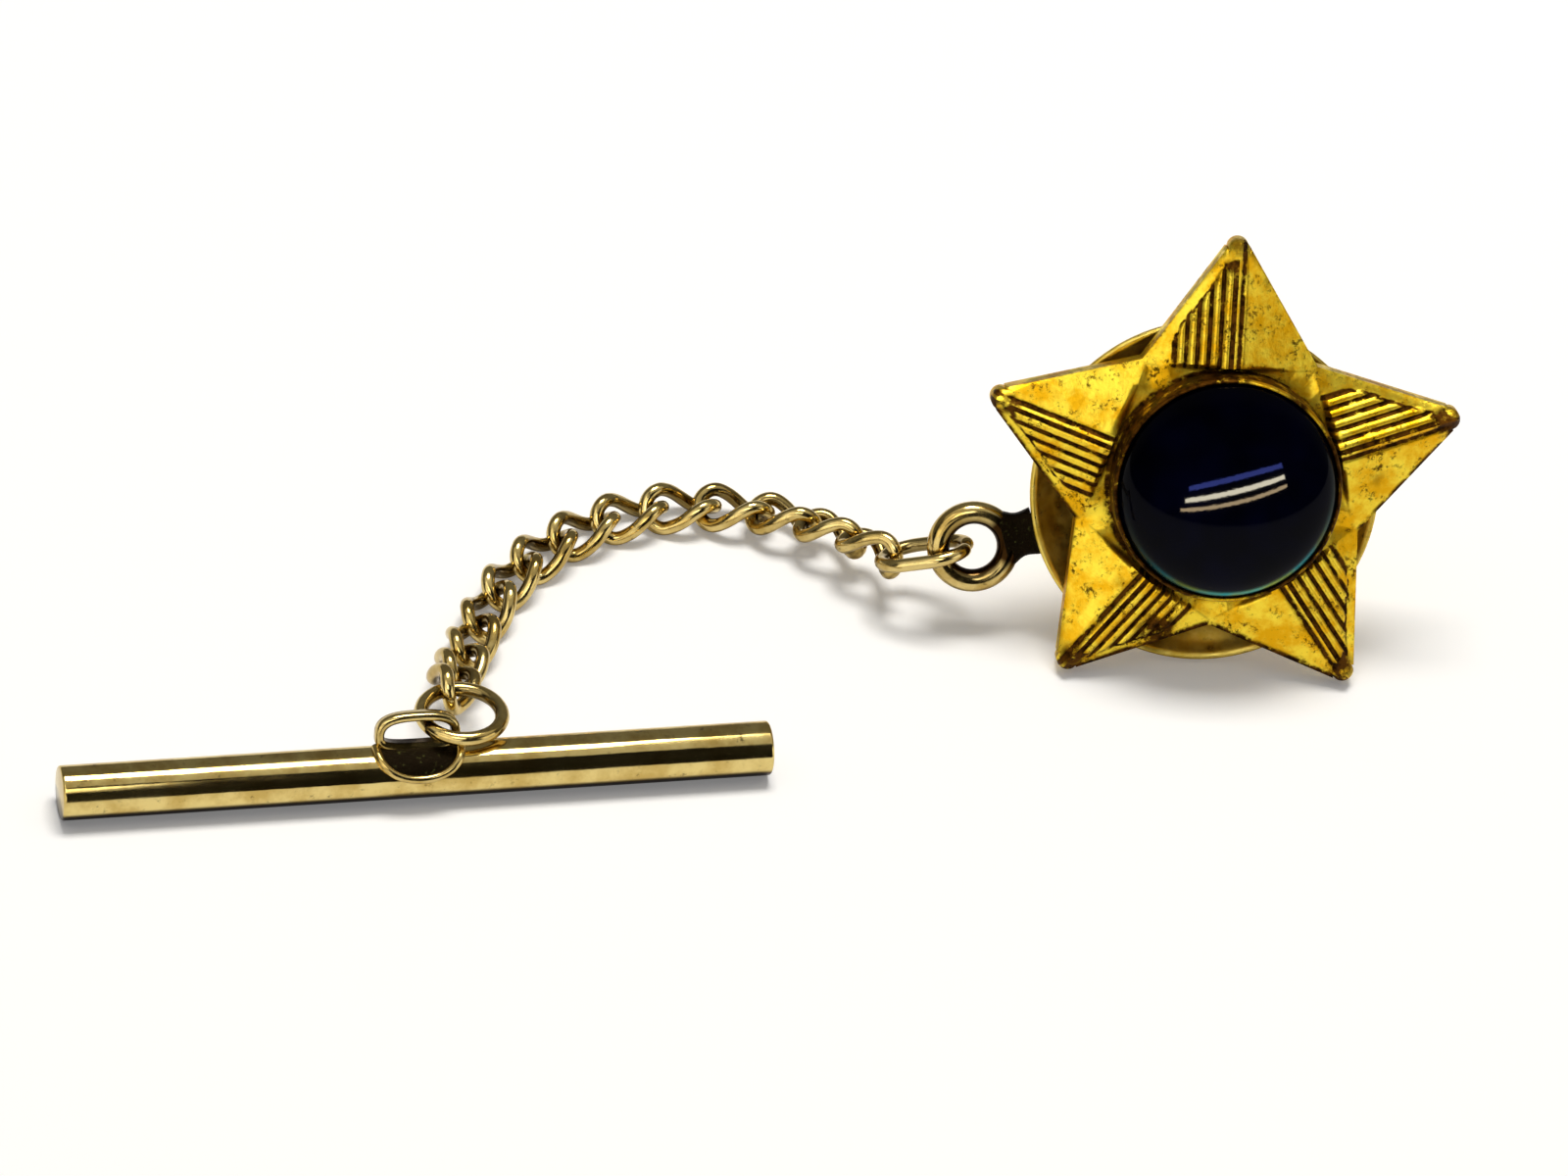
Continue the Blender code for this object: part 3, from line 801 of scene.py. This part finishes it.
def plateau_row(book, spot, offset, start):
    """Points from an arm's base line inward over the plateau, which falls gently towards its corners.

    The darker ring round the setting's foot is widened below the stone by painted shade.
    """
    reach = sqrt(ARM_BASE ** 2 + offset ** 2)
    row = [start]
    drop = max(0.0, book.points[start][1] - PLATEAU_Y)
    width = SEAT_DARK_WIDTH + SEAT_SHADE_BELOW * max(0.0, -book.points[start][2] / reach)
    for k in range(1, PLATEAU_ROWS + 1):
        scale = 1.0 + (PLATEAU_HOLE / reach - 1.0) * k / PLATEAU_ROWS
        dark = SEAT_DARK * bell(reach * scale, SEAT_DARK_RADIUS, width)
        share = min(1.0, k / PLATEAU_FALL_ROWS)
        y = PLATEAU_Y + drop * (1.0 - share * share * (3.0 - 2.0 * share))
        row.append(spot(ARM_BASE * scale, offset * scale, y, dark))
    return row


def add_star(gold):
    """The five arms and the plateau between them, as one mesh."""
    book = MeshBook()
    back, hole = [], []
    for arm in range(ARM_COUNT):
        turn = radians(90.0 + 360.0 / ARM_COUNT * arm)
        edges = {side: half_arm(book, turn, side) for side in (-1, 1)}
        back += edges[-1][0][::-1] + edges[1][0]
        hole += edges[-1][1][::-1] + edges[1][1]
    book.face(reversed(back))
    book.face(hole)
    add_piece("star", placed(book.points, HEAD), book.faces, gold, "head", ["star_body"],
              sharp=50.0, marks={"tarnish_and_shade": book.tarnish_and_shade})


def painted_glint(turn):
    """How bright the lip is at this angle in degrees, from 0 to 1 at a painted highlight, where its painted
    shade is left off.
    """
    return max(bell((turn - middle + 180.0) % 360.0, 180.0, spread) for middle, spread in LIP_GLINTS)


def add_bezel(gold):
    """The cup round the stone: a thin lip and a wall darkened with painted shade and dark reflection, left
    bright at painted highlights.
    """
    profile = [(3.50, -0.82), (3.62, -0.84), (3.61, -1.2), (3.60, -1.6), (3.59, -1.80), (3.53, -1.90),
               (3.46, -1.86), (3.50, -1.66), (3.50, -0.99), (0.0, -0.99), (0.0, -0.82)]
    points, faces = lathe(rounded(profile, BEZEL_ROUND), SETTING_SIDES)
    marks = []
    for x, y, z in points:
        wall = BEZEL_WALL_SHADE * clamp((y - LIP_Y) / LIP_RUN)
        foot = clamp((y - BEZEL_FOOT_Y) / BEZEL_FOOT_RUN)
        lip = LIP_SHADE - LIP_SHADE * painted_glint(degrees(atan2(z, x)))
        marks.append(max(lip, wall, foot))
    add_piece("bezel", placed(points, SETTING), faces, gold, "head", ["bezel_cup"],
              marks={"tarnish_and_shade": marks})


def add_stone(stone):
    """The domed stone; the glow mark is the thin crescent of painted light in its lower edge."""
    profile = [(0.0, STONE_BACK_Y), (STONE_RADIUS, STONE_BACK_Y), (STONE_RADIUS, STONE_SHOULDER_Y)]
    for n in range(DOME_STEPS):
        t = radians(90.0 * n / DOME_STEPS)
        profile.append((DOME_RADIUS * cos(t), DOME_Y - DOME_RISE * sin(t)))
    profile.append((0.0, DOME_Y - DOME_RISE))
    points, faces = lathe(profile, SETTING_SIDES)
    marks = []
    for x, y, z in points:
        low = bell(degrees(atan2(z, x)), GLOW_ANGLE, GLOW_SPREAD)
        marks.append(low * bell(sqrt(x * x + z * z), GLOW_RADIUS, GLOW_WIDTH) * GLOW_FULL)
    return add_piece("stone", placed(points, SETTING), faces, stone, "head", ["cabochon"],
                     marks={"glow": marks})


def add_post(gold):
    """The pin, from its point at the back to the pad on the star."""
    profile = [(0.0, 4.95), (0.1, 4.95), (0.5, 4.25), (0.5, 4.05), (0.42, 3.9), (0.42, 3.7), (0.5, 3.55),
               (0.5, 0.42), (1.15, 0.22), (1.15, 0.03), (0.0, 0.03)]
    points, faces = lathe(rounded(profile, POST_ROUND)[::-1], POST_SIDES)
    add_piece("post", placed(points, PIN), faces, gold, "head", ["tack_post"])


# Clutch

def add_turned(name, profile, body, node, material, size):
    """A piece turned about the pin's axis, with its corners rounded to this size."""
    points, faces = lathe(rounded(profile, size), CLUTCH_SIDES)
    add_piece(name, placed(points, PIN), faces, material, body, [node])


def add_clutch(gold):
    """The dished plate, the barrel with its hollow, and the pull cap."""
    plate = [(0.64, 1.05), (2.6, 1.02), (3.5, 0.95), (4.3, 0.80), (4.75, 0.64), (5.0, 0.50), (5.18, 0.32),
             (5.3, 0.16), (5.42, 0.12), (PLATE_RADIUS, 0.18), (PLATE_RADIUS, 0.36), (5.26, 0.60), (4.5, 1.05),
             (2.7, 1.28), (0.64, 1.30)]
    add_turned("plate", plate, "plate", "clutch_plate", gold, CLUTCH_ROUND)
    barrel = [(0.66, 1.33), (2.55, 1.33), (2.62, 1.5), (2.40, 2.4), (2.40, 3.6), (2.62, 4.5), (2.55, 4.68),
              (1.14, 4.68), (1.14, 4.40), (1.90, 4.40), (1.90, 2.82), (1.48, 2.82), (1.10, 1.62),
              (0.66, 1.62)]
    add_turned("barrel", barrel, "clutch", "clutch_barrel", gold, CLUTCH_ROUND)
    cap = [(0.0, 5.2), (0.62, 5.2), (0.62, 4.8), (3.05, 4.8), (3.155, 4.9), (3.155, 5.38), (3.035, 5.5),
           (0.0, 5.5)]
    add_turned("cap", cap, "cap", "clutch_cap", gold, CAP_ROUND)


def add_spring(steel):
    """The coil inside the barrel; the real one shortens as the cap is pulled, but this one keeps its shape.
    """
    coil = []
    for k in range(SPRING_STEPS + 1):
        share = k / SPRING_STEPS
        turn = 2.0 * pi * SPRING_TURNS * share
        coil.append((SPRING_RADIUS * cos(turn), SPRING_FRONT_Y + SPRING_RUN * share,
                     SPRING_RADIUS * sin(turn)))
    points, faces = sweep(placed(coil, PIN), SPRING_WIRE, SPRING_SIDES, closed=False)
    piece = add_piece("spring", points, faces, steel, "clutch", ["clutch_spring"])
    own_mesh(piece)


def add_loop(gold, oxide_and_shade):
    """Round loop of wire and the crusted neck that joins it to the plate's edge."""
    hub = Vector((LOOP_CENTRE.x - PIN_X, LOOP_CENTRE.z - PIN_Z))
    away = atan2(hub.y, hub.x)
    centre = Matrix.Translation((LOOP_CENTRE.x, 0.0, LOOP_CENTRE.z))
    spin = HEAD @ centre @ Matrix.Rotation(-(away + pi), 4, "Y")
    middle = (LOOP_FRONT_Y + LOOP_BACK_Y) / 2.0
    radius = LOOP_OUTER - LOOP_WIRE
    path = []
    for k in range(LOOP_POINTS):
        t = 2.0 * pi * k / LOOP_POINTS
        path.append((radius * cos(t), middle, radius * sin(t)))
    route = placed(path, spin)
    points, faces = sweep(route, LOOP_WIRE, LOOP_SIDES)
    inner = inner_marks(points, route, LOOP_SIDES, spin @ Vector((0.0, middle, 0.0)), full=1.0)
    for k in range(len(points)):
        turn = 360.0 * (k // LOOP_SIDES) / LOOP_POINTS
        near = min(turn, 360.0 - turn)
        inner[k] = max(inner[k], fade(near, LOOP_DARK, LOOP_DARK_RUN))
    add_piece("loop", points, faces, gold, "plate", ["chain_loop"], marks={"inner": inner})
    reach = hub.length - PLATE_RADIUS + NECK_OVERLAP
    points, faces = neck_mesh(NECK_START, reach, middle)
    add_piece("loop_neck", placed(points, spin), faces, oxide_and_shade, "plate")


def neck_mesh(start, end, middle):
    """Lumpy rounded block along +X, flared where it meets the loop and narrower at its waist."""
    points = []
    deep = (LOOP_BACK_Y - LOOP_FRONT_Y) / 2.0
    for k in range(NECK_ROWS):
        share = k / (NECK_ROWS - 1)
        x = start + (end - start) * share
        waist = 1.0 + NECK_FLARE * (1.0 - share) ** 2 - NECK_WAIST * sin(pi * share)
        lump = NECK_LUMP * sin(7.0 * share + 1.0)
        for s in range(NECK_SIDES):
            t = 2.0 * pi * s / NECK_SIDES
            wide = (NECK_HALF_WIDTH * waist + lump) * squared(sin(t))
            high = (deep * waist + 0.5 * lump * sin(3.0 * t)) * squared(cos(t)) * NECK_THIN
            points.append((x, middle + high, wide))
    return points, tube_faces(NECK_ROWS, NECK_SIDES, closed=False)


# Chain

def oval_path(half_length, half_width, count):
    """Evenly spaced points on the centre line of a flat link along X with round ends."""
    straight = half_length - half_width
    arc = pi * half_width
    total = 2.0 * arc + 4.0 * straight
    path = []
    for k in range(count):
        s = total * (k + 0.5) / count
        if s < arc:
            t = s / half_width - pi / 2.0
            path.append((straight + half_width * cos(t), half_width * sin(t), 0.0))
        elif s < arc + 2.0 * straight:
            path.append((straight - (s - arc), half_width, 0.0))
        elif s < 2.0 * arc + 2.0 * straight:
            t = (s - arc - 2.0 * straight) / half_width + pi / 2.0
            path.append((-straight + half_width * cos(t), half_width * sin(t), 0.0))
        else:
            path.append((-straight + (s - 2.0 * arc - 2.0 * straight), -half_width, 0.0))
    return path


def curb_path(half_length):
    """Centre line of one link along X, with round ends turned opposite ways about X."""
    path = []
    for x, across, _ in oval_path(half_length, LINK_HALF_WIDTH, FINE_POINTS):
        share = max(-1.0, min(1.0, x / (TWIST_SHARE * half_length)))
        twist = LINK_TWIST * sin(share * pi / 2.0)
        path.append((x, across * cos(twist), across * sin(twist)))
    return path


def frame_at(centre, along, up_hint, roll=0.0):
    """Matrix with X along a direction and Z as near as it can be to up_hint, then rolled about X."""
    x = Vector(along).normalized()
    y = Vector(up_hint).cross(x).normalized()
    z = x.cross(y)
    turn = Matrix((x, y, z)).transposed().to_4x4()
    return Matrix.Translation(centre) @ turn @ Matrix.Rotation(roll, 4, "X")


def add_chain(gold):
    """The curb links; gives the last link's direction and its pivot with the end ring."""
    path = curb_path(PITCH / 2.0 + HOOK)
    pivot = FIRST_PIVOT.copy()
    for k, (heading, slope) in enumerate(zip(HEADINGS, SLOPES)):
        h, s = radians(heading), radians(slope)
        along = Vector((cos(h) * cos(s), sin(h) * cos(s), sin(s)))
        after = pivot + along * PITCH
        place = frame_at((pivot + after) / 2.0, along, (0, 0, 1), radians(ROLLS[k]))
        route = placed(path, place)
        points, faces = sweep(route, WIRE, FINE_SIDES)
        marks = {"inner": inner_marks(points, route, FINE_SIDES, place.translation)}
        name = f"chain_link_{k + 1:02d}"
        add_piece(name.replace("chain_", ""), points, faces, gold, name, [name], marks=marks)
        pivot = after
    return along, pivot


def add_end_link(gold):
    """The oval link from the clutch's loop to the first curb link, with the split in its wire."""
    loop = HEAD @ LOOP_CENTRE
    reach = FIRST_PIVOT - loop
    outward = (reach - BACKWARD * reach.dot(BACKWARD)).normalized()
    start = loop + outward * (LOOP_HOLE - WIRE - END_LINK_PLAY)
    along = (FIRST_PIVOT - start).normalized()
    end = FIRST_PIVOT + along * (HOOK + END_SLACK)
    place = frame_at((start + end) / 2.0, along, BACKWARD.cross(outward))
    path = oval_path((end - start).length / 2.0, END_LINK_WIDTH, END_LINK_POINTS)
    path = path[SPLIT_POINT:] + path[:SPLIT_POINT - SPLIT_GAP]
    taper = SPLIT_TAPER + [1.0] * (len(path) - 2 * len(SPLIT_TAPER)) + SPLIT_TAPER[::-1]
    route = placed(path, place)
    points, faces = sweep(route, WIRE, FINE_SIDES, closed=False, taper=taper)
    marks = {"inner": inner_marks(points, route, FINE_SIDES, place.translation)}
    add_piece("end_link_wire", points, faces, gold, "end_link", ["end_link"], marks=marks)


def bar_layout(along, after):
    """Ring's centre and its two directions, and the bar's centre, from the last link's end."""
    right = Vector((cos(BAR_YAW), sin(BAR_YAW), 0.0))
    back = Vector((-sin(BAR_YAW), cos(BAR_YAW), 0.0))
    out = back * sin(EYE_LEAN) + Vector((0.0, 0.0, cos(EYE_LEAN)))
    hooked = after - along * (HOOK + RING_WIRE - WIRE + END_SLACK)
    seat_height = BAR_RADIUS + out.z * SEAT_REACH
    tilt = asin((seat_height - hooked.z) / (RING_BACK + RING_RADIUS * sin(RING_TURN)))
    inward = back * cos(tilt) - Vector((0.0, 0.0, sin(tilt)))
    centre = hooked - RING_RADIUS * (cos(RING_TURN) * right + sin(RING_TURN) * inward)
    seat = centre - RING_RIGHT * right - RING_BACK * inward
    bar = seat - RING_ALONG_BAR * right - SEAT_REACH * out
    return centre, right, inward, bar


def add_end_ring(gold, centre, right, inward):
    """The round ring between the last curb link and the bar's eye."""
    path = []
    for k in range(FINE_POINTS):
        t = 2.0 * pi * k / FINE_POINTS
        path.append(centre + RING_RADIUS * (cos(t) * right + sin(t) * inward))
    points, faces = sweep(path, RING_WIRE + RING_FULLER, FINE_SIDES)
    marks = {"inner": inner_marks(points, path, FINE_SIDES, centre)}
    add_piece("ring", points, faces, gold, "end_ring", ["end_ring"], marks=marks)


# Toggle bar

def add_bar(gold, bar):
    """The round bar, as an object whose own X axis runs along the bar, so that its scratches do too."""
    ends = BAR_LENGTH / 2.0
    profile = [(0.0, -ends), (BAR_RADIUS, -ends), (BAR_RADIUS, ends), (0.0, ends)]
    points, faces = lathe(rounded(profile, BAR_ROUND), BAR_SIDES)
    turned = [(y, -x, z) for x, y, z in points]
    # The underside is darkened with painted shade, through the inner mark
    grime_and_shade = [clamp((-z / BAR_RADIUS - BAR_SHADE) / BAR_SHADE_RUN) for _, _, z in turned]
    stand = Matrix.Translation(bar) @ Matrix.Rotation(BAR_YAW, 4, "Z")
    add_piece("bar_rod", turned, faces, gold, "bar", ["toggle_bar"], marks={"inner": grime_and_shade},
              stand=stand)


def on_bar(along, elevation, height):
    """Point over the bar's surface, in the bar's own axes; elevation 0 is its front, 90 its top."""
    out = BAR_RADIUS + height
    return Vector((along, -out * cos(radians(elevation)), out * sin(radians(elevation))))


def add_eye_foot(gold, oxide_and_shade, bar):
    """The eye's lower half, which lies on the front of the bar: a thin rim round a black sheet of painted
    shade.
    """
    stand = Matrix.Translation(bar) @ Matrix.Rotation(BAR_YAW, 4, "Z")
    rim, shade, faces = [], [], []
    row = EYE_FOOT_STEPS + 1
    for k in range(EYE_FOOT_POINTS + 1):
        t = pi * k / EYE_FOOT_POINTS
        low = EYE_FOOT_TOP - (EYE_FOOT_TOP - EYE_FOOT_LOW) * squared(sin(t))
        along = EYE_HALF_WIDTH * cos(t)
        rim.append(on_bar(along, low, EYE_RIM_LIFT))
        for step in range(row):
            elevation = EYE_FOOT_TOP + (low - EYE_FOOT_TOP) * step / EYE_FOOT_STEPS
            shade.append(on_bar(along, elevation, EYE_SHADE_LIFT))
    for k in range(EYE_FOOT_POINTS):
        for step in range(EYE_FOOT_STEPS):
            one = k * row + step
            faces.append((one, one + 1, one + row + 1, one + row))
    # The hollow is a black sheet of painted shade lying on the bar
    add_piece("eye_shade_sheet", placed(shade, stand), faces, oxide_and_shade, "bar")
    points, faces = sweep(placed(rim, stand), EYE_FOOT_WIRE, FINE_SIDES, closed=False)
    add_piece("eye_rim", points, faces, gold, "bar")


def add_eye(gold, bar):
    """The strip bent into an eye and soldered to the bar, with softened edges."""
    outline = []
    for k in range(EYE_POINTS):
        t = 2.0 * pi * k / EYE_POINTS
        lift = (EYE_REACH - EYE_MIDDLE) if sin(t) > 0.0 else EYE_DROP
        hole = (EYE_REACH - EYE_WALL - EYE_MIDDLE) if sin(t) > 0.0 else EYE_HOLE_DROP
        x, z = squared(cos(t)), squared(sin(t))
        outer = Vector((EYE_HALF_WIDTH * x, EYE_MIDDLE + lift * z))
        inner = Vector(((EYE_HALF_WIDTH - EYE_WALL) * x, EYE_MIDDLE + hole * z))
        outline.append((outer, inner))
    soft = EYE_DEPTH - EYE_SOFT
    section = [(0.0, -soft), (0.25, -EYE_DEPTH), (0.75, -EYE_DEPTH), (1.0, -soft),
               (1.0, soft), (0.75, EYE_DEPTH), (0.25, EYE_DEPTH), (0.0, soft)]
    points, faces, marks = [], [], []
    for outer, inner in outline:
        for share, y in section:
            spot = outer.lerp(inner, share)
            points.append((spot.x, y, spot.y))
            # The strip's inner face is marked for painted shade
            marks.append(1.0 if share == 1.0 else 0.0)
    sides = len(section)
    for k in range(EYE_POINTS):
        m = (k + 1) % EYE_POINTS
        for s in range(sides):
            t = (s + 1) % sides
            faces.append((k * sides + s, m * sides + s, m * sides + t, k * sides + t))
    turn = Matrix.Rotation(BAR_YAW, 4, "Z") @ Matrix.Rotation(-EYE_LEAN, 4, "X")
    stand = Matrix.Translation(bar) @ turn
    add_piece("eye", placed(points, stand), faces, gold, "bar", ["bar_eye"], sharp=50.0,
              marks={"inner": marks})


# Stage

def floor_white():
    """White that keeps the shadow; the eye, and mirrors a little, see it glow, more so further away."""
    s = Shader("floor", 0.0, 0.9)
    s.main.inputs["Base Color"].default_value = (*FLOOR_WHITE, 1.0)
    s.main.inputs["Specular IOR Level"].default_value = 0.0
    s.main.inputs["Emission Color"].default_value = (1.0, 1.0, 1.0, 1.0)
    away = s.tree.nodes.new("ShaderNodeVectorMath")
    away.operation = "LENGTH"
    s.link(s.place, away.inputs[0])
    glow = s.span(away.outputs["Value"], FLOOR_NEAR, FLOOR_FAR, FLOOR_GLOW)
    path = s.tree.nodes.new("ShaderNodeLightPath").outputs
    mirror = s.math("MAXIMUM", path["Is Glossy Ray"], path["Is Transmission Ray"])
    seen = s.math("MULTIPLY_ADD", mirror, FLOOR_IN_MIRRORS, path["Is Camera Ray"])
    s.link(s.math("MULTIPLY", seen, glow), s.main.inputs["Emission Strength"])
    return s.material


def add_floor():
    """Square white table, which isn't part of the object."""
    mesh = bpy.data.meshes.new("floor")
    corners = [(-1, -1), (1, -1), (1, 1), (-1, 1)]
    mesh.from_pydata([(x * FLOOR_HALF, y * FLOOR_HALF, 0.0) for x, y in corners], [], [(0, 1, 2, 3)])
    mesh.materials.append(floor_white())
    floor = bpy.data.objects.new("floor", mesh)
    bpy.context.scene.collection.objects.link(floor)
    return floor


def add_world():
    """Dim grey room that is darker towards the front, where the camera stands."""
    world = bpy.data.worlds.new("room")
    bpy.context.scene.world = world
    world.use_nodes = True
    tree = world.node_tree
    place = tree.nodes.new("ShaderNodeTexCoord")
    split = tree.nodes.new("ShaderNodeSeparateXYZ")
    tree.links.new(place.outputs["Generated"], split.inputs[0])
    share = tree.nodes.new("ShaderNodeMapRange")
    share.interpolation_type = "SMOOTHSTEP"
    share.inputs["From Min"].default_value = ROOM_DARK_Y
    share.inputs["From Max"].default_value = ROOM_LIGHT_Y
    tree.links.new(split.outputs["Y"], share.inputs["Value"])
    tone = tree.nodes.new("ShaderNodeMapRange")
    tone.inputs["To Min"].default_value = ROOM_FRONT
    tone.inputs["To Max"].default_value = ROOM_BACK
    tree.links.new(share.outputs["Result"], tone.inputs["Value"])
    background = tree.nodes["Background"]
    background.inputs["Color"].default_value = (*ROOM_TINT, 1.0)
    tree.links.new(tone.outputs["Result"], background.inputs["Strength"])


def add_lamp(name, azimuth, elevation, size, radiance, colour=WARM_LIGHT, distance=LAMP_DISTANCE, roll=0.0,
             target=(0.0, 0.0, 4.0)):
    """Area lamp that faces the target, in millimetres; azimuth 0 is in front, on -Y."""
    a, e = radians(azimuth), radians(elevation)
    toward = Vector((sin(a) * cos(e), -cos(a) * cos(e), sin(e)))
    lamp = bpy.data.lights.new(name, "AREA")
    lamp.shape = "RECTANGLE"
    lamp.size, lamp.size_y = (edge * MM for edge in size)
    lamp.color = colour
    lamp.energy = radiance * pi * lamp.size * lamp.size_y
    piece = bpy.data.objects.new(name, lamp)
    turn = toward.to_track_quat("Z", "Y").to_matrix().to_4x4()
    spot = (Vector(target) + SHIFT + toward * distance) * MM
    piece.matrix_world = Matrix.Translation(spot) @ turn @ Matrix.Rotation(radians(roll), 4, "Z")
    bpy.context.scene.collection.objects.link(piece)
    return piece


def add_strip(name, azimuth, elevation, size, radiance, colour):
    """Narrow lamp, tilted as the streaks on the stone are."""
    return add_lamp(name, azimuth, elevation, size, radiance, colour, STRIP_DISTANCE, STRIP_ROLL)


def add_lamps(stone, floor):
    """Soft lamps above and ahead for the metal, and narrow strips that only the stone reflects."""
    above = [add_lamp("overhead", 0.0, 86.0, (1500.0, 520.0), 0.50, distance=OVERHEAD_DISTANCE,
                      target=(-10.0, 0.0, 0.0)),
             add_lamp("key", 176.0, 79.0, (220.0, 150.0), 17.0)]
    ahead = [add_lamp("front", -11.0, 48.0, (200.0, 150.0), 3.0),
             add_lamp("left", -46.0, 40.0, (340.0, 380.0), 1.15),
             add_lamp("right", 62.0, 16.0, (320.0, 260.0), 1.2),
             add_lamp("fill", -30.0, 14.0, (500.0, 230.0), 1.2)]
    strips = [add_strip("strip", 10.0, 16.0, (365.0, 16.0), 154.0, CREAM_LIGHT),
              add_strip("blue strip", 10.5, 22.4, (345.0, 18.0), 38.0, BLUE_LIGHT),
              add_strip("tan strip", 9.5, 10.8, (390.0, 12.0), 83.0, TAN_LIGHT)]
    link_lamps(above, [stone], "EXCLUDE")
    link_lamps(ahead, [stone, floor], "EXCLUDE")
    link_lamps(strips, [stone], "INCLUDE")


def link_lamps(lamps, pieces, state):
    """Keeps these lamps off the pieces, or on them alone."""
    group = bpy.data.collections.new(f"{lamps[0].name} {state.lower()}")
    for piece in pieces:
        group.objects.link(piece)
    for member in group.collection_objects:
        member.light_linking.link_state = state
    for lamp in lamps:
        lamp.light_linking.receiver_collection = group


def add_camera():
    """Camera at the photograph's place, with its roll."""
    back = Vector((sin(CAMERA_AZIMUTH) * cos(CAMERA_ELEVATION),
                   -cos(CAMERA_AZIMUTH) * cos(CAMERA_ELEVATION), sin(CAMERA_ELEVATION)))
    right = Vector((cos(CAMERA_AZIMUTH), sin(CAMERA_AZIMUTH), 0.0))
    up = back.cross(right)
    side = cos(CAMERA_ROLL) * right + sin(CAMERA_ROLL) * up
    top = cos(CAMERA_ROLL) * up - sin(CAMERA_ROLL) * right
    lens = bpy.data.cameras.new("camera")
    lens.lens = CAMERA_LENS
    lens.sensor_width = CAMERA_SENSOR
    lens.clip_start = CLIP_START
    lens.clip_end = CLIP_END
    camera = bpy.data.objects.new("camera", lens)
    turn = Matrix((side, top, back)).transposed().to_4x4()
    camera.matrix_world = Matrix.Translation((CAMERA_SPOT + SHIFT) * MM) @ turn
    bpy.context.scene.collection.objects.link(camera)
    bpy.context.scene.camera = camera


def dress_hidden(steel):
    """Gives the CAD nodes that stay in the clutch their steel finish."""
    for name in ("ball_cage", "lock_ball_1", "lock_ball_2", "lock_ball_3"):
        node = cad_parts[name]
        node.data.materials.clear()
        node.data.materials.append(steel)


def main():
    bpy.context.scene.view_settings.view_transform = "Standard"
    star, steel, oxide_and_shade = star_gold(), spring_steel(), oxide_and_shade_finish()
    chain = pale_gold("pale gold chain", CHAIN_GOLD, CHAIN_GOLD_DEEP, rough=0.15)
    clutch = pale_gold("pale gold clutch", CLUTCH_GOLD, CLUTCH_GOLD_DEEP, rough=0.36, size_mm=0.9)
    bar_gold = pale_gold("pale gold bar", BAR_GOLD, BAR_GOLD_DEEP, rough=0.09, size_mm=0.45,
                         stretch=(0.07, 1.0, 1.0), relief=0.40)
    add_star(star)
    add_bezel(star)
    stone = add_stone(navy_stone())
    add_post(clutch)
    add_clutch(clutch)
    add_spring(steel)
    dress_hidden(steel)
    add_loop(chain, oxide_and_shade)
    add_end_link(chain)
    along, after = add_chain(chain)
    centre, right, inward, bar = bar_layout(along, after)
    add_end_ring(chain, centre, right, inward)
    add_bar(bar_gold, bar)
    add_eye(chain, bar)
    add_eye_foot(chain, oxide_and_shade, bar)
    add_world()
    add_lamps(stone, add_floor())
    add_camera()


main()
